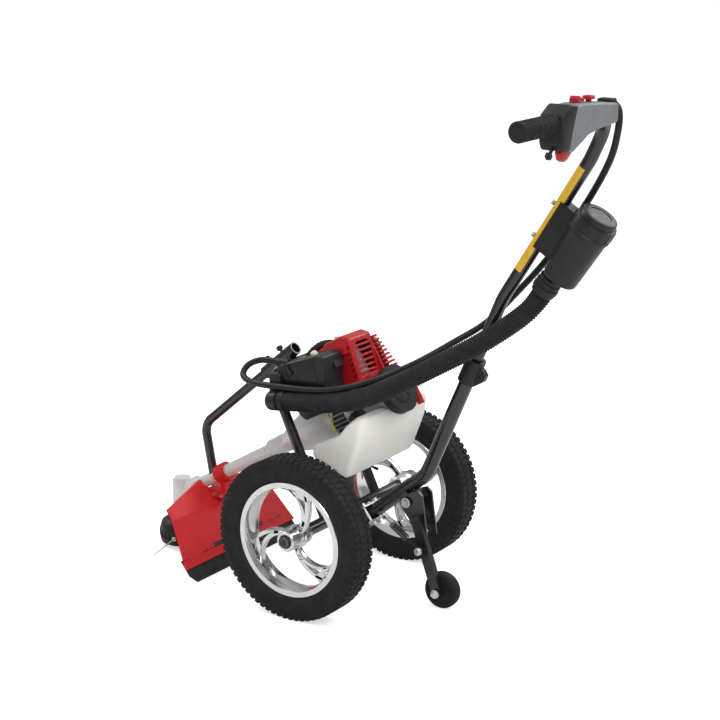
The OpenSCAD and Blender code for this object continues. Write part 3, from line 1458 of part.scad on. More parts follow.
// Stand: wings on the pivot, leg, spring stub and wheel spindle
wing_size = 50;
wing_shares = [[0.32, -0.16], [0.34, 0.02], [0.14, 0.24], [-0.2, 0.44], [-0.48, 0.54], [-0.68, 0.36],
    [-0.92, -1.32], [-0.56, -1.28]];
module at_leg() {
    seat() translate(leg_p) rotate([-leg_a, 0, 0]) children();
}
module stand_leg() {
    x0 = boss_half + gap;
    color("#161617") difference() {
        union() {
            seat() translate(pivot_p) for (s = [-1, 1]) prism_x(wing_shares * wing_size,
                s > 0 ? x0 : -x0 - wing_t, s > 0 ? x0 + wing_t : -x0);
            at_run(foot_p, lean_low) translate([0, pivot_y, pivot_s]) box([-x0 - wing_t, -boss_d / 2, web_s],
                [x0 + wing_t, pivot_drop - gap, web_s + wing_t]);
            at_leg() box([leg_x0, -leg_t / 2, -leg_len], [leg_x1, leg_t / 2, leg_rise]);
            at_leg() translate([0, 0, -leg_len]) rod_x(leg_t, leg_x0, leg_x1);
            at_leg() translate([0, 0, -leg_len]) rod_x(pivot_d, leg_x0,
                stand_x + stand_wheel_w / 2 + wing_t + gap);
            at_leg() translate([0, 0, -leg_len]) hex_x(2 * pivot_d, stand_x + stand_wheel_w / 2 + gap,
                stand_x + stand_wheel_w / 2 + wing_t);
            at_leg() translate([0, 0, -leg_len]) hex_x(2 * pivot_d, leg_x0 - wing_t, leg_x0);
            at_leg() translate([0, 0, -stub_s]) rod_x(stub_d, -stub_out - wing_t, leg_x0 + over);
            at_leg() translate([0, 0, -stub_s]) hex_x(2 * stub_d, -stub_out - 2 * wing_t, -stub_out - wing_t);
        }
        seat() translate(pivot_p) rod_x(pivot_d + 2 * run_fit, -2 * boss_half, 2 * boss_half);
    }
}
module stand_wheel() {
    color("#19191a") seat() translate(stand_c) difference() {
        rod_x(stand_wheel_d, -stand_wheel_w / 2, stand_wheel_w / 2);
        rod_x(pivot_d + 2 * run_fit, -stand_wheel_w, stand_wheel_w);
    }
}

// Zinc and black fasteners, each a solid of its own
module fasteners() {
    side = lower_d / 2 + small_bolt_d + over;
    color("#c3c6c8") {
        seat() translate(axle_p) for (s = [-1, 1]) mirror([s < 0 ? 1 : 0, 0, 0]) difference() {
            hex_x(nut_d, bearing_out, bearing_out + nut_h);
            rod_x(axle_d, bearing_out - over, axle_half);
        }
        at_run(foot_p, lean_low) {
            for (y = [lower_d / 2, -lower_d / 2 - plate_t]) difference() {
                box([-plate_half, y, -low_start], [plate_half, y + plate_t, plate_len]);
                for (x = [-side, side]) for (z = plate_bolts) translate([x, 0, z])
                    rod_y(small_bolt_d + 2 * slip_fit, y - over, y + plate_t + over);
            }
            for (x = [-side, side]) for (z = plate_bolts) translate([x, 0, z])
                bolt_y(small_bolt_d, -lower_d / 2 - plate_t - run_fit, lower_d / 2 + plate_t + run_fit);
        }
        at_filter_tube() for (z = filter_bolts) translate([0, 0, z]) {
            rod_y(small_bolt_d, -filter_bolt_in, upper_d / 2 + small_bolt_d / 2);
            translate([0, upper_d / 2 + over / 2, 0]) rotate([-90, 0, 0]) cylinder(d = 2 * small_bolt_d,
                h = small_bolt_d - over, $fn = 6);
        }
        seat() for (y = guard_bolts) translate([0, clamp_c.y + y, (arm_z0 + arm_z1) / 2]) {
            rod_x(guard_bolt_d, -arm_w / 2, arm_w / 2);
            hex_x(2 * guard_bolt_d, -arm_w / 2 - guard_bolt_d, -arm_w / 2);
            hex_x(2 * guard_bolt_d, arm_w / 2, arm_w / 2 + guard_bolt_d);
        }
        seat() translate(pivot_p) {
            out = boss_half + gap + wing_t + gap;
            rod_x(pivot_d, -out, out);
            hex_x(2 * pivot_d, -out - wing_t, -out);
            hex_x(2 * pivot_d, out, out + wing_t);
        }
        at_arm() translate([-adjust_x, 0, -adjust_z]) rotate([0, adjust_tilt, 0]) {
            translate([0, 0, -adjust_out + adjust_head / 2]) cylinder(d = adjust_d,
                h = adjust_len - adjust_head);
            translate([-adjust_head / 2, -adjust_head / 2, -adjust_out - adjust_head / 2]) cube(adjust_head);
        }
    }
}
plate_half = 30;
plate_len = 52;
plate_bolts = [24, 42];
module bolt_y(d, y0, y1) {
    rod_y(d, y0, y1);
    translate([0, y0 - d, 0]) rotate([-90, 0, 0]) cylinder(d = 2 * d, h = d, $fn = 6);
    translate([0, y1, 0]) rotate([-90, 0, 0]) cylinder(d = 2 * d, h = d, $fn = 6);
}

axle_beam();
frame_hoop();
engine_post();
axle_rod();
wheel_bearings();
handle_lower_tube();
tube_end_plug();
handle_clamp();
handle_upper_tube();
grip_rubber();
throttle_inner_shell();
throttle_outer_shell();
throttle_cable();
filter_bowl();
filter_lid();
filter_bracket();
fasteners();
hose_collars();
intake_hose();
crankcase();
cylinder_block();
piston_and_rod();
crankshaft();
flywheel();
clutch_shoes();
muffler();
top_shroud();
intake_cover();
carburettor();
plug_boot();
fuel_tank();
starter_cover();
clutch_housing();
drive_tube();
shaft_bearings();
gearbox_case();
guard();
guard_skirt();
guard_clamp();
adjuster_rod();
stand_spring();
left_tyre();
left_rim();
right_tyre();
right_rim();
stand_leg();
stand_wheel();
clutch_drum();
drive_shaft();
output_gear();
trimmer_head();
cutting_line();
throttle_trigger();
stop_switch();
lock_button();
fuel_cap();
choke_lever();
starter_grip();
front_thumb_screw();
rear_thumb_screw();
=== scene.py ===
import bpy
import bmesh
import json
from math import asin, cos, pi, radians, sin
from mathutils import Matrix, Vector

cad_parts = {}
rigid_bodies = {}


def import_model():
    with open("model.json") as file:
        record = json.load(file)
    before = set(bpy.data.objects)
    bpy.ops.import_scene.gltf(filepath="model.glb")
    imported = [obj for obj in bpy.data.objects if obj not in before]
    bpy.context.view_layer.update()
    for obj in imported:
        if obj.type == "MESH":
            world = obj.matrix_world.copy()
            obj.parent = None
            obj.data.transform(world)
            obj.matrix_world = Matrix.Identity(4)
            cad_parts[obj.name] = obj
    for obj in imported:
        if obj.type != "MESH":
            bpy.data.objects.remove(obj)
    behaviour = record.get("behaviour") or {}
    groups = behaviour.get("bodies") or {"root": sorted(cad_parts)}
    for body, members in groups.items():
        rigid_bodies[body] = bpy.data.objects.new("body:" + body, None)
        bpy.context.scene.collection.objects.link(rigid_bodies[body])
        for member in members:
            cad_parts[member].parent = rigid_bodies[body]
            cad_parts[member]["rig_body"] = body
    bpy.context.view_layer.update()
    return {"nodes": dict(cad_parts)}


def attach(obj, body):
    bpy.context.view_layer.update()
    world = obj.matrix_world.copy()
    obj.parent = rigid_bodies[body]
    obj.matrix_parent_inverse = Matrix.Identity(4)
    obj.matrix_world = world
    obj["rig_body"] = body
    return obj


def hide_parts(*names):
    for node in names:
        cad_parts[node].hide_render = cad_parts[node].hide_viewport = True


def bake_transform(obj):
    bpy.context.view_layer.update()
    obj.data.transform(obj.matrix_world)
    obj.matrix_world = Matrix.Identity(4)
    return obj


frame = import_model()
nodes = frame["nodes"]
print("frame loaded:", len(nodes), "nodes")

scene = bpy.context.scene
scene.view_settings.view_transform = "Standard"

# places: x right, y forward, z up in millimetres from the ground under the axle
seatPlace = Vector((52.0, 40.2352, 0.0))
engineY, engineZ = -70, 400
engineTilt = radians(30)
axisX = Vector((1, 0, 0))
sideNames = {-1: "left", 1: "right"}


def at(x, y, z):
    return (Vector((x, y, z)) + seatPlace) / 1000


# the engine's own axes: x right, c along the crank, n away from the crankcase
def atEngine(x, c, n):
    y = engineY + c * cos(engineTilt) + n * sin(engineTilt)
    z = engineZ - c * sin(engineTilt) + n * cos(engineTilt)
    return at(x, y, z)


def engineDir(x, c, n):
    return Vector((x, c * cos(engineTilt) + n * sin(engineTilt),
                   n * cos(engineTilt) - c * sin(engineTilt))).normalized()


def addObject(name, data):
    obj = bpy.data.objects.new(name, data)
    scene.collection.objects.link(obj)
    return obj


def runDir(lean):
    a = radians(lean)
    return Vector((0, -sin(a), cos(a)))


engineSeat = Matrix.Translation(at(0, engineY, engineZ)) @ Matrix.Rotation(-engineTilt, 4, "X")
handleKink = Vector((0, -330.607, 626.071))
handleTop = (0, -536.435, 978.797)
handleUp = runDir(32)

# camera first, at the photograph's angle
cameraValues = {"place": (-2850.6, -1898.8, 1356.6), "azimuth": 303.40, "elevation": 14.64, "lens": 91.54}


def makeCamera(v):
    data = bpy.data.cameras.new("photoCamera")
    data.sensor_fit = "HORIZONTAL"
    data.sensor_width = 36
    data.lens = v["lens"]
    data.clip_end = 60
    cam = addObject("photoCamera", data)
    a, e = radians(v["azimuth"]), radians(v["elevation"])
    back = Vector((sin(a) * cos(e), -cos(a) * cos(e), sin(e)))
    cam.rotation_euler = back.to_track_quat("Z", "Y").to_euler()
    cam.location = at(*v["place"])
    scene.camera = cam


makeCamera(cameraValues)


# shader nodes: an input takes a number, a colour or another node's output
def setInputs(tree, node, values):
    for label, value in values.items():
        if isinstance(value, bpy.types.NodeSocket):
            tree.links.new(value, node.inputs[label])
        else:
            node.inputs[label].default_value = value


def addNode(tree, kind, values, **settings):
    node = tree.nodes.new("ShaderNode" + kind)
    for key, value in settings.items():
        setattr(node, key, value)
    setInputs(tree, node, values)
    return node


def newGroup(name, inputs, outputs):
    group = bpy.data.node_groups.new(name, "ShaderNodeTree")
    for label, value in inputs.items():
        kind = "NodeSocketColor" if isinstance(value, tuple) else "NodeSocketFloat"
        group.interface.new_socket(name=label, in_out="INPUT", socket_type=kind).default_value = value
    for label, kind in outputs.items():
        group.interface.new_socket(name=label, in_out="OUTPUT", socket_type=kind)
    return group, group.nodes.new("NodeGroupInput").outputs, group.nodes.new("NodeGroupOutput")


def noiseIn(group, scale, detail):
    coords = addNode(group, "TexCoord", {})
    noise = addNode(group, "TexNoise", {"Vector": coords.outputs["Object"], "Scale": scale, "Detail": detail})
    return noise.outputs["Fac"]


def timesIn(group, first, second):
    return addNode(group, "Math", {0: first, 1: second}, operation="MULTIPLY").outputs[0]


def rangeIn(group, values):
    return addNode(group, "MapRange", values).outputs["Result"]


def mixIn(group, share, first, second):
    mix = addNode(group, "Mix", {"Factor": share, "A": first, "B": second}, data_type="RGBA")
    return mix.outputs["Result"]


def makeGrainGroup():
    group, given, out = newGroup("surfaceGrain", {"Scale": 400, "Low": 0.35, "High": 0.5},
                                 {"Roughness": "NodeSocketFloat", "Height": "NodeSocketFloat"})
    broad = noiseIn(group, timesIn(group, given["Scale"], 0.06), 4)
    rough = rangeIn(group, {"Value": broad, "From Min": 0.3, "From Max": 0.7,
                            "To Min": given["Low"], "To Max": given["High"]})
    setInputs(group, out, {"Roughness": rough, "Height": noiseIn(group, given["Scale"], 6)})
    return group


def makeMottleGroup():
    group, given, out = newGroup("colourMottle", {"Color": (0.5, 0.5, 0.5, 1), "Shade": (0.4, 0.4, 0.4, 1),
                                                  "Scale": 20}, {"Color": "NodeSocketColor"})
    share = rangeIn(group, {"Value": noiseIn(group, given["Scale"], 5), "From Min": 0.38, "From Max": 0.68})
    setInputs(group, out, {"Color": mixIn(group, share, given["Color"], given["Shade"])})
    return group


def makeDustGroup():
    group, given, out = newGroup("groundDust", {"Color": (0.02, 0.02, 0.02, 1), "Dust": (0.3, 0.28, 0.24, 1),
                                                "Amount": 0.2, "Scale": 60}, {"Color": "NodeSocketColor"})
    normal = addNode(group, "NewGeometry", {}).outputs["Normal"]
    up = addNode(group, "SeparateXYZ", {"Vector": normal}).outputs["Z"]
    rise = rangeIn(group, {"Value": up, "From Min": -0.6})
    share = timesIn(group, timesIn(group, noiseIn(group, given["Scale"], 8), rise), given["Amount"])
    setInputs(group, out, {"Color": mixIn(group, share, given["Color"], given["Dust"])})
    return group


groups = {"grain": makeGrainGroup(), "mottle": makeMottleGroup(), "dust": makeDustGroup()}


def makeFinish(name, v):
    mat = bpy.data.materials.new(name)
    mat.use_nodes = True
    tree = mat.node_tree
    low, high = v["rough"]
    grain = addNode(tree, "Group", {"Scale": v.get("grain", 500), "Low": low, "High": high},
                    node_tree=groups["grain"])
    bump = addNode(tree, "Bump", {"Strength": v.get("bump", 0.08), "Distance": 0.0006,
                                  "Height": grain.outputs["Height"]})
    mottle = addNode(tree, "Group", {"Color": (*v["colour"], 1), "Shade": (*v["shade"], 1),
                                     "Scale": v.get("mottle", 30)}, node_tree=groups["mottle"])
    colour = mottle.outputs["Color"]
    if "dust" in v:
        dust = addNode(tree, "Group", {"Amount": v["dust"], "Color": colour}, node_tree=groups["dust"])
        colour = dust.outputs["Color"]
    setInputs(tree, tree.nodes["Principled BSDF"], {
        "Metallic": v.get("metallic", 0.0), "Coat Weight": v.get("coat", 0.0), "Coat Roughness": 0.12,
        "Specular IOR Level": v.get("specular", 0.5), "Roughness": grain.outputs["Roughness"],
        "Normal": bump.outputs["Normal"], "Base Color": colour})
    return mat


finishValues = {
    "glossBlackPaint": {"colour": (0.005, 0.005, 0.0055), "shade": (0.008, 0.008, 0.0085),
        "rough": (0.18, 0.30), "coat": 0.4, "grain": 260, "bump": 0.03, "dust": 0.05},
    "blackPlastic": {"colour": (0.008, 0.008, 0.0085), "shade": (0.012, 0.012, 0.0125),
        "rough": (0.38, 0.52), "specular": 0.32, "grain": 1500, "bump": 0.14, "dust": 0.06},
    "coverPlastic": {"colour": (0.011, 0.011, 0.012), "shade": (0.015, 0.015, 0.016),
        "rough": (0.32, 0.44), "specular": 0.32, "grain": 1800, "bump": 0.06, "dust": 0.06},
    "greyPlastic": {"colour": (0.20, 0.21, 0.22), "shade": (0.17, 0.18, 0.19), "rough": (0.42, 0.55),
        "grain": 1400, "bump": 0.12},
    "redPlastic": {"colour": (0.50, 0.008, 0.012), "shade": (0.43, 0.007, 0.010), "rough": (0.30, 0.44),
        "specular": 0.4, "coat": 0.1, "grain": 900, "bump": 0.04, "dust": 0.03},
    "redSheet": {"colour": (0.62, 0.010, 0.014), "shade": (0.56, 0.009, 0.012), "rough": (0.42, 0.56),
        "specular": 0.3, "grain": 320, "bump": 0.03, "dust": 0.05},
    "brightAlloy": {"colour": (0.74, 0.74, 0.75), "shade": (0.66, 0.67, 0.68), "rough": (0.14, 0.26),
        "metallic": 1.0, "grain": 700, "bump": 0.03, "dust": 0.04},
    "castAlloy": {"colour": (0.46, 0.47, 0.48), "shade": (0.38, 0.39, 0.40), "rough": (0.40, 0.56),
        "metallic": 0.75, "grain": 1100, "bump": 0.22, "dust": 0.1},
    "machinedSteel": {"colour": (0.60, 0.61, 0.62), "shade": (0.50, 0.51, 0.52), "rough": (0.24, 0.38),
        "metallic": 1.0, "grain": 900, "bump": 0.04},
    "zincPlate": {"colour": (0.70, 0.71, 0.72), "shade": (0.62, 0.61, 0.56), "rough": (0.26, 0.42),
        "metallic": 1.0, "grain": 600, "bump": 0.06, "mottle": 90},
    "blackRubber": {"colour": (0.007, 0.007, 0.007), "shade": (0.012, 0.012, 0.012), "rough": (0.62, 0.80),
        "specular": 0.32, "grain": 1100, "bump": 0.2, "dust": 0.08},
    "tyreRubber": {"colour": (0.006, 0.006, 0.0062), "shade": (0.010, 0.010, 0.010), "rough": (0.60, 0.78),
        "specular": 0.26, "grain": 700, "bump": 0.25, "dust": 0.07},
    "milkPlastic": {"colour": (0.90, 0.89, 0.84), "shade": (0.84, 0.83, 0.77), "rough": (0.36, 0.48),
        "grain": 800, "bump": 0.05, "mottle": 14},
    "silverPaint": {"colour": (0.70, 0.69, 0.68), "shade": (0.63, 0.62, 0.61), "rough": (0.26, 0.38),
        "metallic": 0.12, "coat": 0.3, "grain": 500, "bump": 0.03},
    "exhaustBlack": {"colour": (0.035, 0.034, 0.033), "shade": (0.06, 0.05, 0.042), "rough": (0.50, 0.70),
        "metallic": 0.4, "grain": 600, "bump": 0.2},
    "nylonLine": {"colour": (0.82, 0.83, 0.82), "shade": (0.76, 0.77, 0.75), "rough": (0.30, 0.42),
        "bump": 0.04},
    "ivoryCap": {"colour": (0.76, 0.72, 0.58), "shade": (0.68, 0.64, 0.50), "rough": (0.34, 0.46),
        "bump": 0.05},
    "yellowFilm": {"colour": (0.80, 0.47, 0.03), "shade": (0.74, 0.42, 0.025), "rough": (0.28, 0.40),
        "bump": 0.02},
    "fuelLine": {"colour": (0.58, 0.62, 0.10), "shade": (0.50, 0.54, 0.08), "rough": (0.20, 0.34),
        "bump": 0.03},
}
finish = {name: makeFinish(name, v) for name, v in finishValues.items()}
print("finishes made:", len(finish))


def meshFrom(bm, name):
    mesh = bpy.data.meshes.new(name)
    bm.to_mesh(mesh)
    bm.free()
    return mesh


# pieces: a stand-in has the body of the solid it replaces, an extra names its own body
def meshPiece(name, bm, look, smooth):
    bm.normal_update()
    mesh = meshFrom(bm, name)
    mesh.materials.append(finish[look])
    for face in mesh.polygons:
        face.use_smooth = True
    mesh.set_sharp_from_angle(angle=radians(smooth))
    piece = addObject(name, mesh)
    return piece


def addExtra(name, bm, look, smooth, slot, body="chassis"):
    piece = meshPiece(name, bm, look, smooth)
    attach(piece, body)
    return piece


def standIn(name, bm, look, smooth, node, blended=False):
    piece = meshPiece(name, bm, look, smooth)
    if not blended:
        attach(piece, nodes[node]["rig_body"])
    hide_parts(node)
    return piece


def softenEdges(piece, width):
    bevel = piece.modifiers.new("softEdges", "BEVEL")
    bevel.width = width / 1000
    bevel.segments = 2
    bevel.limit_method = "ANGLE"
    bevel.angle_limit = radians(38)
    bevel.profile = 0.5
    even = piece.modifiers.new("evenNormals", "WEIGHTED_NORMAL")
    even.keep_sharp = True


def nodeMesh(node):
    bm = bmesh.new()
    bm.from_mesh(nodes[node].data)
    return bm


# a softened copy of a solid, or only of its faces between two heights in metres
def dressNode(node, look, width, span=(-1.0, 9.0), tail=""):
    bm = nodeMesh(node)
    outside = [f for f in bm.faces if not span[0] < f.calc_center_median().z < span[1]]
    bmesh.ops.delete(bm, geom=outside, context="FACES")
    bmesh.ops.remove_doubles(bm, verts=bm.verts, dist=2e-6)
    bmesh.ops.dissolve_limit(bm, angle_limit=radians(0.6), verts=bm.verts, edges=bm.edges)
    piece = standIn("dressed_" + node + tail, bm, look, 38, node)
    softenEdges(piece, width)


# shapes: sizes in millimetres, meshes in metres
def shifted(bm, matrix):
    bmesh.ops.transform(bm, matrix=matrix, verts=bm.verts)
    return bm


def moved(bm, vec):
    bmesh.ops.translate(bm, vec=vec, verts=bm.verts)
    return bm


def faced(bm):
    bmesh.ops.recalc_face_normals(bm, faces=bm.faces)
    return bm


def bevelled(bm, edges, width, segments):
    bmesh.ops.bevel(bm, geom=edges, offset=width / 1000, offset_type="OFFSET", segments=segments, profile=0.5,
                    affect="EDGES", clamp_overlap=True, material=-1)
    return bm


def placed(point, direction):
    return Matrix.Translation(point) @ direction.to_track_quat("Z", "Y").to_matrix().to_4x4()


def ringSpot(angle, out, height):
    return Matrix.Rotation(angle, 4, "Z") @ Matrix.Translation((out / 1000, 0, height / 1000))


def pour(target, source, matrix=None):
    if matrix is not None:
        shifted(source, matrix)
    mesh = meshFrom(source, "pour")
    target.from_mesh(mesh)
    bpy.data.meshes.remove(mesh)


def lathe(profile, steps, closed=False):
    bm = bmesh.new()
    verts = [bm.verts.new((r / 1000, 0, a / 1000)) for r, a in profile]
    for first, second in zip(verts, verts[1:]):
        bm.edges.new((first, second))
    if closed:
        bm.edges.new((verts[-1], verts[0]))
    bmesh.ops.spin(bm, geom=bm.verts[:] + bm.edges[:], cent=(0, 0, 0), axis=(0, 0, 1), angle=2 * pi,
                   steps=steps, use_merge=True)
    bmesh.ops.remove_doubles(bm, verts=bm.verts, dist=1e-6)
    return faced(bm)


def block(size, bevel=0.0, segments=1):
    bm = bmesh.new()
    bmesh.ops.create_cube(bm, size=1.0)
    bmesh.ops.scale(bm, vec=Vector(size) / 1000, verts=bm.verts)
    return bevelled(bm, bm.edges[:], bevel, segments) if bevel else bm


def holdBlock(low, high, bevel=0.0, segments=1):
    size = [b - a for a, b in zip(low, high)]
    return moved(block(size, bevel, segments), (Vector(low) + Vector(high)) / 2000)


def addRibs(bm, count, size, bevel, out, height, start=0.0):
    for i in range(count):
        pour(bm, block(size, bevel), ringSpot(2 * pi * (i + start) / count, out, height))


def hexHead(d, h):
    bm = bmesh.new()
    bmesh.ops.create_cone(bm, cap_ends=True, segments=6, radius1=d / 2000, radius2=d / 2000, depth=h / 1000)
    moved(bm, (0, 0, h / 2000))
    rims = [e for e in bm.edges if abs(e.verts[0].co.z - e.verts[1].co.z) < 1e-7]
    bevelled(bm, rims, d / 16, 2)
    washer = d * 0.58
    pour(bm, lathe([(0, -0.6), (washer, -0.6), (washer, 0.2), (0, 0.2)], 24))
    return bm


def routeThrough(points, steps):
    route = []
    last = len(points) - 1
    for i in range(last):
        a, b, c, d = points[max(i - 1, 0)], points[i], points[i + 1], points[min(i + 2, last)]
        for k in range(steps):
            t = k / steps
            route.append((2 * b + (c - a) * t + (2 * a - 5 * b + 4 * c - d) * t * t
                          + (3 * b - a - 3 * c + d) * t * t * t) / 2)
    route.append(points[-1])
    return route


def evenRoute(points, count):
    route = routeThrough(points, 8)
    runs = [0.0]
    for a, b in zip(route, route[1:]):
        runs.append(runs[-1] + (b - a).length)
    even, i = [], 0
    for k in range(count + 1):
        s = runs[-1] * k / count
        while i < len(runs) - 2 and runs[i + 1] < s:
            i += 1
        even.append(route[i].lerp(route[i + 1], min(1, (s - runs[i]) / max(runs[i + 1] - runs[i], 1e-9))))
    return even, runs[-1]


def bridge(bm, rings, closed=True):
    count = len(rings[0])
    for first, second in zip(rings, rings[1:]):
        for k in range(count if closed else count - 1):
            q = (k + 1) % count
            bm.faces.new((first[k], first[q], second[q], second[k]))


def sweepTube(path, radii, sides):
    bm = bmesh.new()
    rings, normal = [], None
    turns = [2 * pi * k / sides for k in range(sides)]
    for i, p in enumerate(path):
        t = (path[min(i + 1, len(path) - 1)] - path[max(i - 1, 0)]).normalized()
        normal = t.orthogonal().normalized() if normal is None else (normal - normal.dot(t) * t).normalized()
        side = t.cross(normal)
        outs = [cos(a) * normal + sin(a) * side for a in turns]
        rings.append([bm.verts.new(p + radii[i] * out) for out in outs])
    bridge(bm, rings)
    bm.faces.new(list(reversed(rings[0])))
    bm.faces.new(rings[-1])
    return faced(bm)


def extruded(points, vec):
    bm = bmesh.new()
    face = bm.faces.new([bm.verts.new(Vector(p) / 1000) for p in points])
    grown = bmesh.ops.extrude_face_region(bm, geom=[face])
    far = [g for g in grown["geom"] if isinstance(g, bmesh.types.BMVert)]
    bmesh.ops.translate(bm, vec=Vector(vec) / 1000, verts=far)
    return faced(bm)


def prism(outline, low, high, bevel=0.0, segments=2):
    bm = extruded([(low, a, b) for a, b in outline], (high - low, 0, 0))
    return bevelled(bm, bm.edges[:], bevel, segments) if bevel else bm


# a prism whose outline runs along x instead of y
def sidePrism(outline, half, bevel, segments):
    swap = Matrix(((0, 1, 0, 0), (1, 0, 0, 0), (0, 0, 1, 0), (0, 0, 0, 1)))
    return faced(shifted(prism(outline, -half, half, bevel, segments), swap))


def rod(d, low, high, place, direction, steps=40):
    profile = [(0, low), (d / 2, low), (d / 2, high), (0, high)]
    return shifted(lathe(profile, steps), placed(place, direction))


def looseObject(bm):
    return addObject("loose", meshFrom(bm, "loose"))


def cutOut(target, cutters):
    whole = looseObject(target)
    tools = [looseObject(cutter) for cutter in cutters]
    for tool in tools:
        cut = whole.modifiers.new("cut", "BOOLEAN")
        cut.operation = "DIFFERENCE"
        cut.solver = "EXACT"
        cut.object = tool
    result = bpy.data.meshes.new_from_object(whole.evaluated_get(bpy.context.evaluated_depsgraph_get()))
    bm = bmesh.new()
    bm.from_mesh(result)
    bpy.data.meshes.remove(result)
    for obj in [whole] + tools:
        mesh = obj.data
        bpy.data.objects.remove(obj)
        bpy.data.meshes.remove(mesh)
    bmesh.ops.remove_doubles(bm, verts=bm.verts, dist=2e-6)
    return bm


# cords, each from object to object: ribbed intake hose, throttle loom and fuel line
neckEnd = Vector((0, -419.49, 660.74))
neckDir = -handleUp
hornPlace = Vector((-124, 66, 398.5))
hornDir = Vector((0, 0.99357, -0.1132))
hoseValues = {
    "d": 39, "rib": 2, "wave": (1.0, 0.5, 0.0, 0.5), "cells": 480, "sides": 24, "lap": 17.6,
    "look": "blackRubber", "stiffness": "stiff",
    "points": [(-16, -372, 596), (-40, -306, 545), (-72, -230, 498), (-100, -160, 457), (-116, -90, 424),
        (-123, -20, 408)],
}
loomValues = {
    "d": 13, "rib": 0.5, "wave": (0, 1), "cells": 660, "sides": 12, "look": "blackPlastic",
    "stiffness": "medium",
    "points": [(-14, -540.43, 990.8), (-3, -540.43, 990.8), (17, -540, 974), (18, -538, 940),
        (30, -520, 890), (45, -480, 824), (47, -436, 758), (45, -390, 692), (38, -336, 628),
        (20, -286, 571), (-18, -232, 530), (-60, -180, 494), (-98, -112, 459), (-118, -40, 436),
        (-126, 25, 428), (-127, 80, 425), (-122, 130, 422), (-110, 168, 421), (-97, 190, 428),
        (-85, 186, 444), (-78, 164, 455), (-76, 140, 457.5), (-76, 121, 457.5)],
}
fuelLineValues = {
    "d": 5.5, "rib": 0, "wave": (0,), "cells": 40, "sides": 12, "look": "fuelLine", "stiffness": "medium",
    "points": [(-66, -4, 450), (-72, -2, 420), (-75, -2, 390), (-76, -4, 364), (-77, -9, 346),
        (-75, -17, 332), (-73, -22, 320)],
}


def makeCord(name, v, points, node=None):
    way, length = evenRoute([at(*p) for p in points], v["cells"])
    wave = v["wave"]
    radii = [v["d"] / 2000 - v["rib"] / 1000 * wave[i % len(wave)] for i in range(len(way))]
    bm = sweepTube(way, radii, v["sides"])
    made = (name, bm, v["look"], 60)
    piece = standIn(*made, node) if node else addExtra(*made, "soft_black")


def hosePoints(v):
    start = [neckEnd - neckDir * v["lap"], neckEnd, neckEnd + neckDir * v["d"]]
    end = [hornPlace - hornDir * v["d"], hornPlace, hornPlace + hornDir * v["lap"]]
    return start + [Vector(p) for p in v["points"]] + end


makeCord("intakeHoseRibbed", hoseValues, hosePoints(hoseValues), "intake_hose")
makeCord("throttleLoom", loomValues, loomValues["points"], "throttle_cable")
makeCord("fuelLineTube", fuelLineValues, fuelLineValues["points"])
print("cords made")

# stage: pale floor and soft studio light
stageValues = {
    "floor": 14.0, "colour": (0.9, 0.9, 0.9), "world": (0.16, 0.62), "glow": 0.6, "aim": (0, 0, 0.4),
    "lamps": [((-2.2, -2.6, 3.4), 2.2, 95), ((2.8, -1.0, 2.8), 2.0, 45), ((0.2, 2.8, 3.0), 2.4, 50)],
}


def makeFloor(v):
    bm = bmesh.new()
    bmesh.ops.create_grid(bm, x_segments=1, y_segments=1, size=v["floor"])
    mesh = meshFrom(bm, "paleFloor")
    mat = bpy.data.materials.new("paleFloor")
    mat.use_nodes = True
    tree = mat.node_tree
    seen = addNode(tree, "LightPath", {}).outputs["Is Camera Ray"]
    setInputs(tree, tree.nodes["Principled BSDF"], {
        "Base Color": (*v["colour"], 1), "Roughness": 0.9, "Emission Color": (1, 1, 1, 1),
        "Emission Strength": timesIn(tree, seen, v["glow"])})
    mesh.materials.append(mat)
    floor = addObject("paleFloor", mesh)


# the camera sees white, the object sees a sky that brightens upward
def makeLight(v):
    world = bpy.data.worlds.new("studioWorld")
    world.use_nodes = True
    tree = world.node_tree
    way = addNode(tree, "TexCoord", {}).outputs["Generated"]
    up = addNode(tree, "SeparateXYZ", {"Vector": way}).outputs["Z"]
    sky = rangeIn(tree, {"Value": up, "From Min": -0.05, "From Max": 0.75, "To Min": v["world"][0],
                         "To Max": v["world"][1]})
    seen = addNode(tree, "LightPath", {}).outputs["Is Camera Ray"]
    most = addNode(tree, "Math", {0: seen, 1: sky}, operation="MAXIMUM")
    setInputs(tree, tree.nodes["Background"], {"Color": (1, 1, 1, 1), "Strength": most.outputs[0]})
    scene.world = world
    for i, (place, size, power) in enumerate(v["lamps"]):
        lamp = bpy.data.lights.new("softBox%d" % i, "AREA")
        lamp.size = size
        lamp.energy = power
        obj = addObject("softBox%d" % i, lamp)
        obj.location = place
        obj.rotation_euler = (Vector(place) - Vector(v["aim"])).to_track_quat("Z", "Y").to_euler()


makeFloor(stageValues)
makeLight(stageValues)

# wheels: knobbed tyres with valve stems, and the solid stand wheel
wheelValues = {"track": 388, "axle": 158.5}
tyreValues = {
    "half": 28.5, "tip": 158.5, "lugs": 72, "duty": 0.76, "row": 13.5, "middle": 10.5, "edgeDeep": 15,
    "middleDeep": 9, "taper": 0.09, "lean": 1.6, "stemAngle": 105, "stemIn": 66,
    "profile": [(104, 20), (113, 20.2), (115.5, 22.5), (119, 25), (121.5, 26), (123, 27), (124.5, 27),
        (126, 26.3), (136, 27), (137.5, 27.6), (139, 27.6), (141, 27.4), (150, 27.4), (154.6, 26),
        (156.4, 20), (156.9, 0)],
    "inside": [(106, -15), (132, -20), (144, -14), (146, 0), (144, 14), (132, 20), (106, 15)],
    "stem": [(0, 0), (2.6, 0), (3.2, 0.6), (3.2, 9), (2.4, 9.6), (2.4, 13), (3.2, 13.6), (3.6, 20),
        (3.9, 27), (5.4, 32), (6, 35), (0, 35)],
}


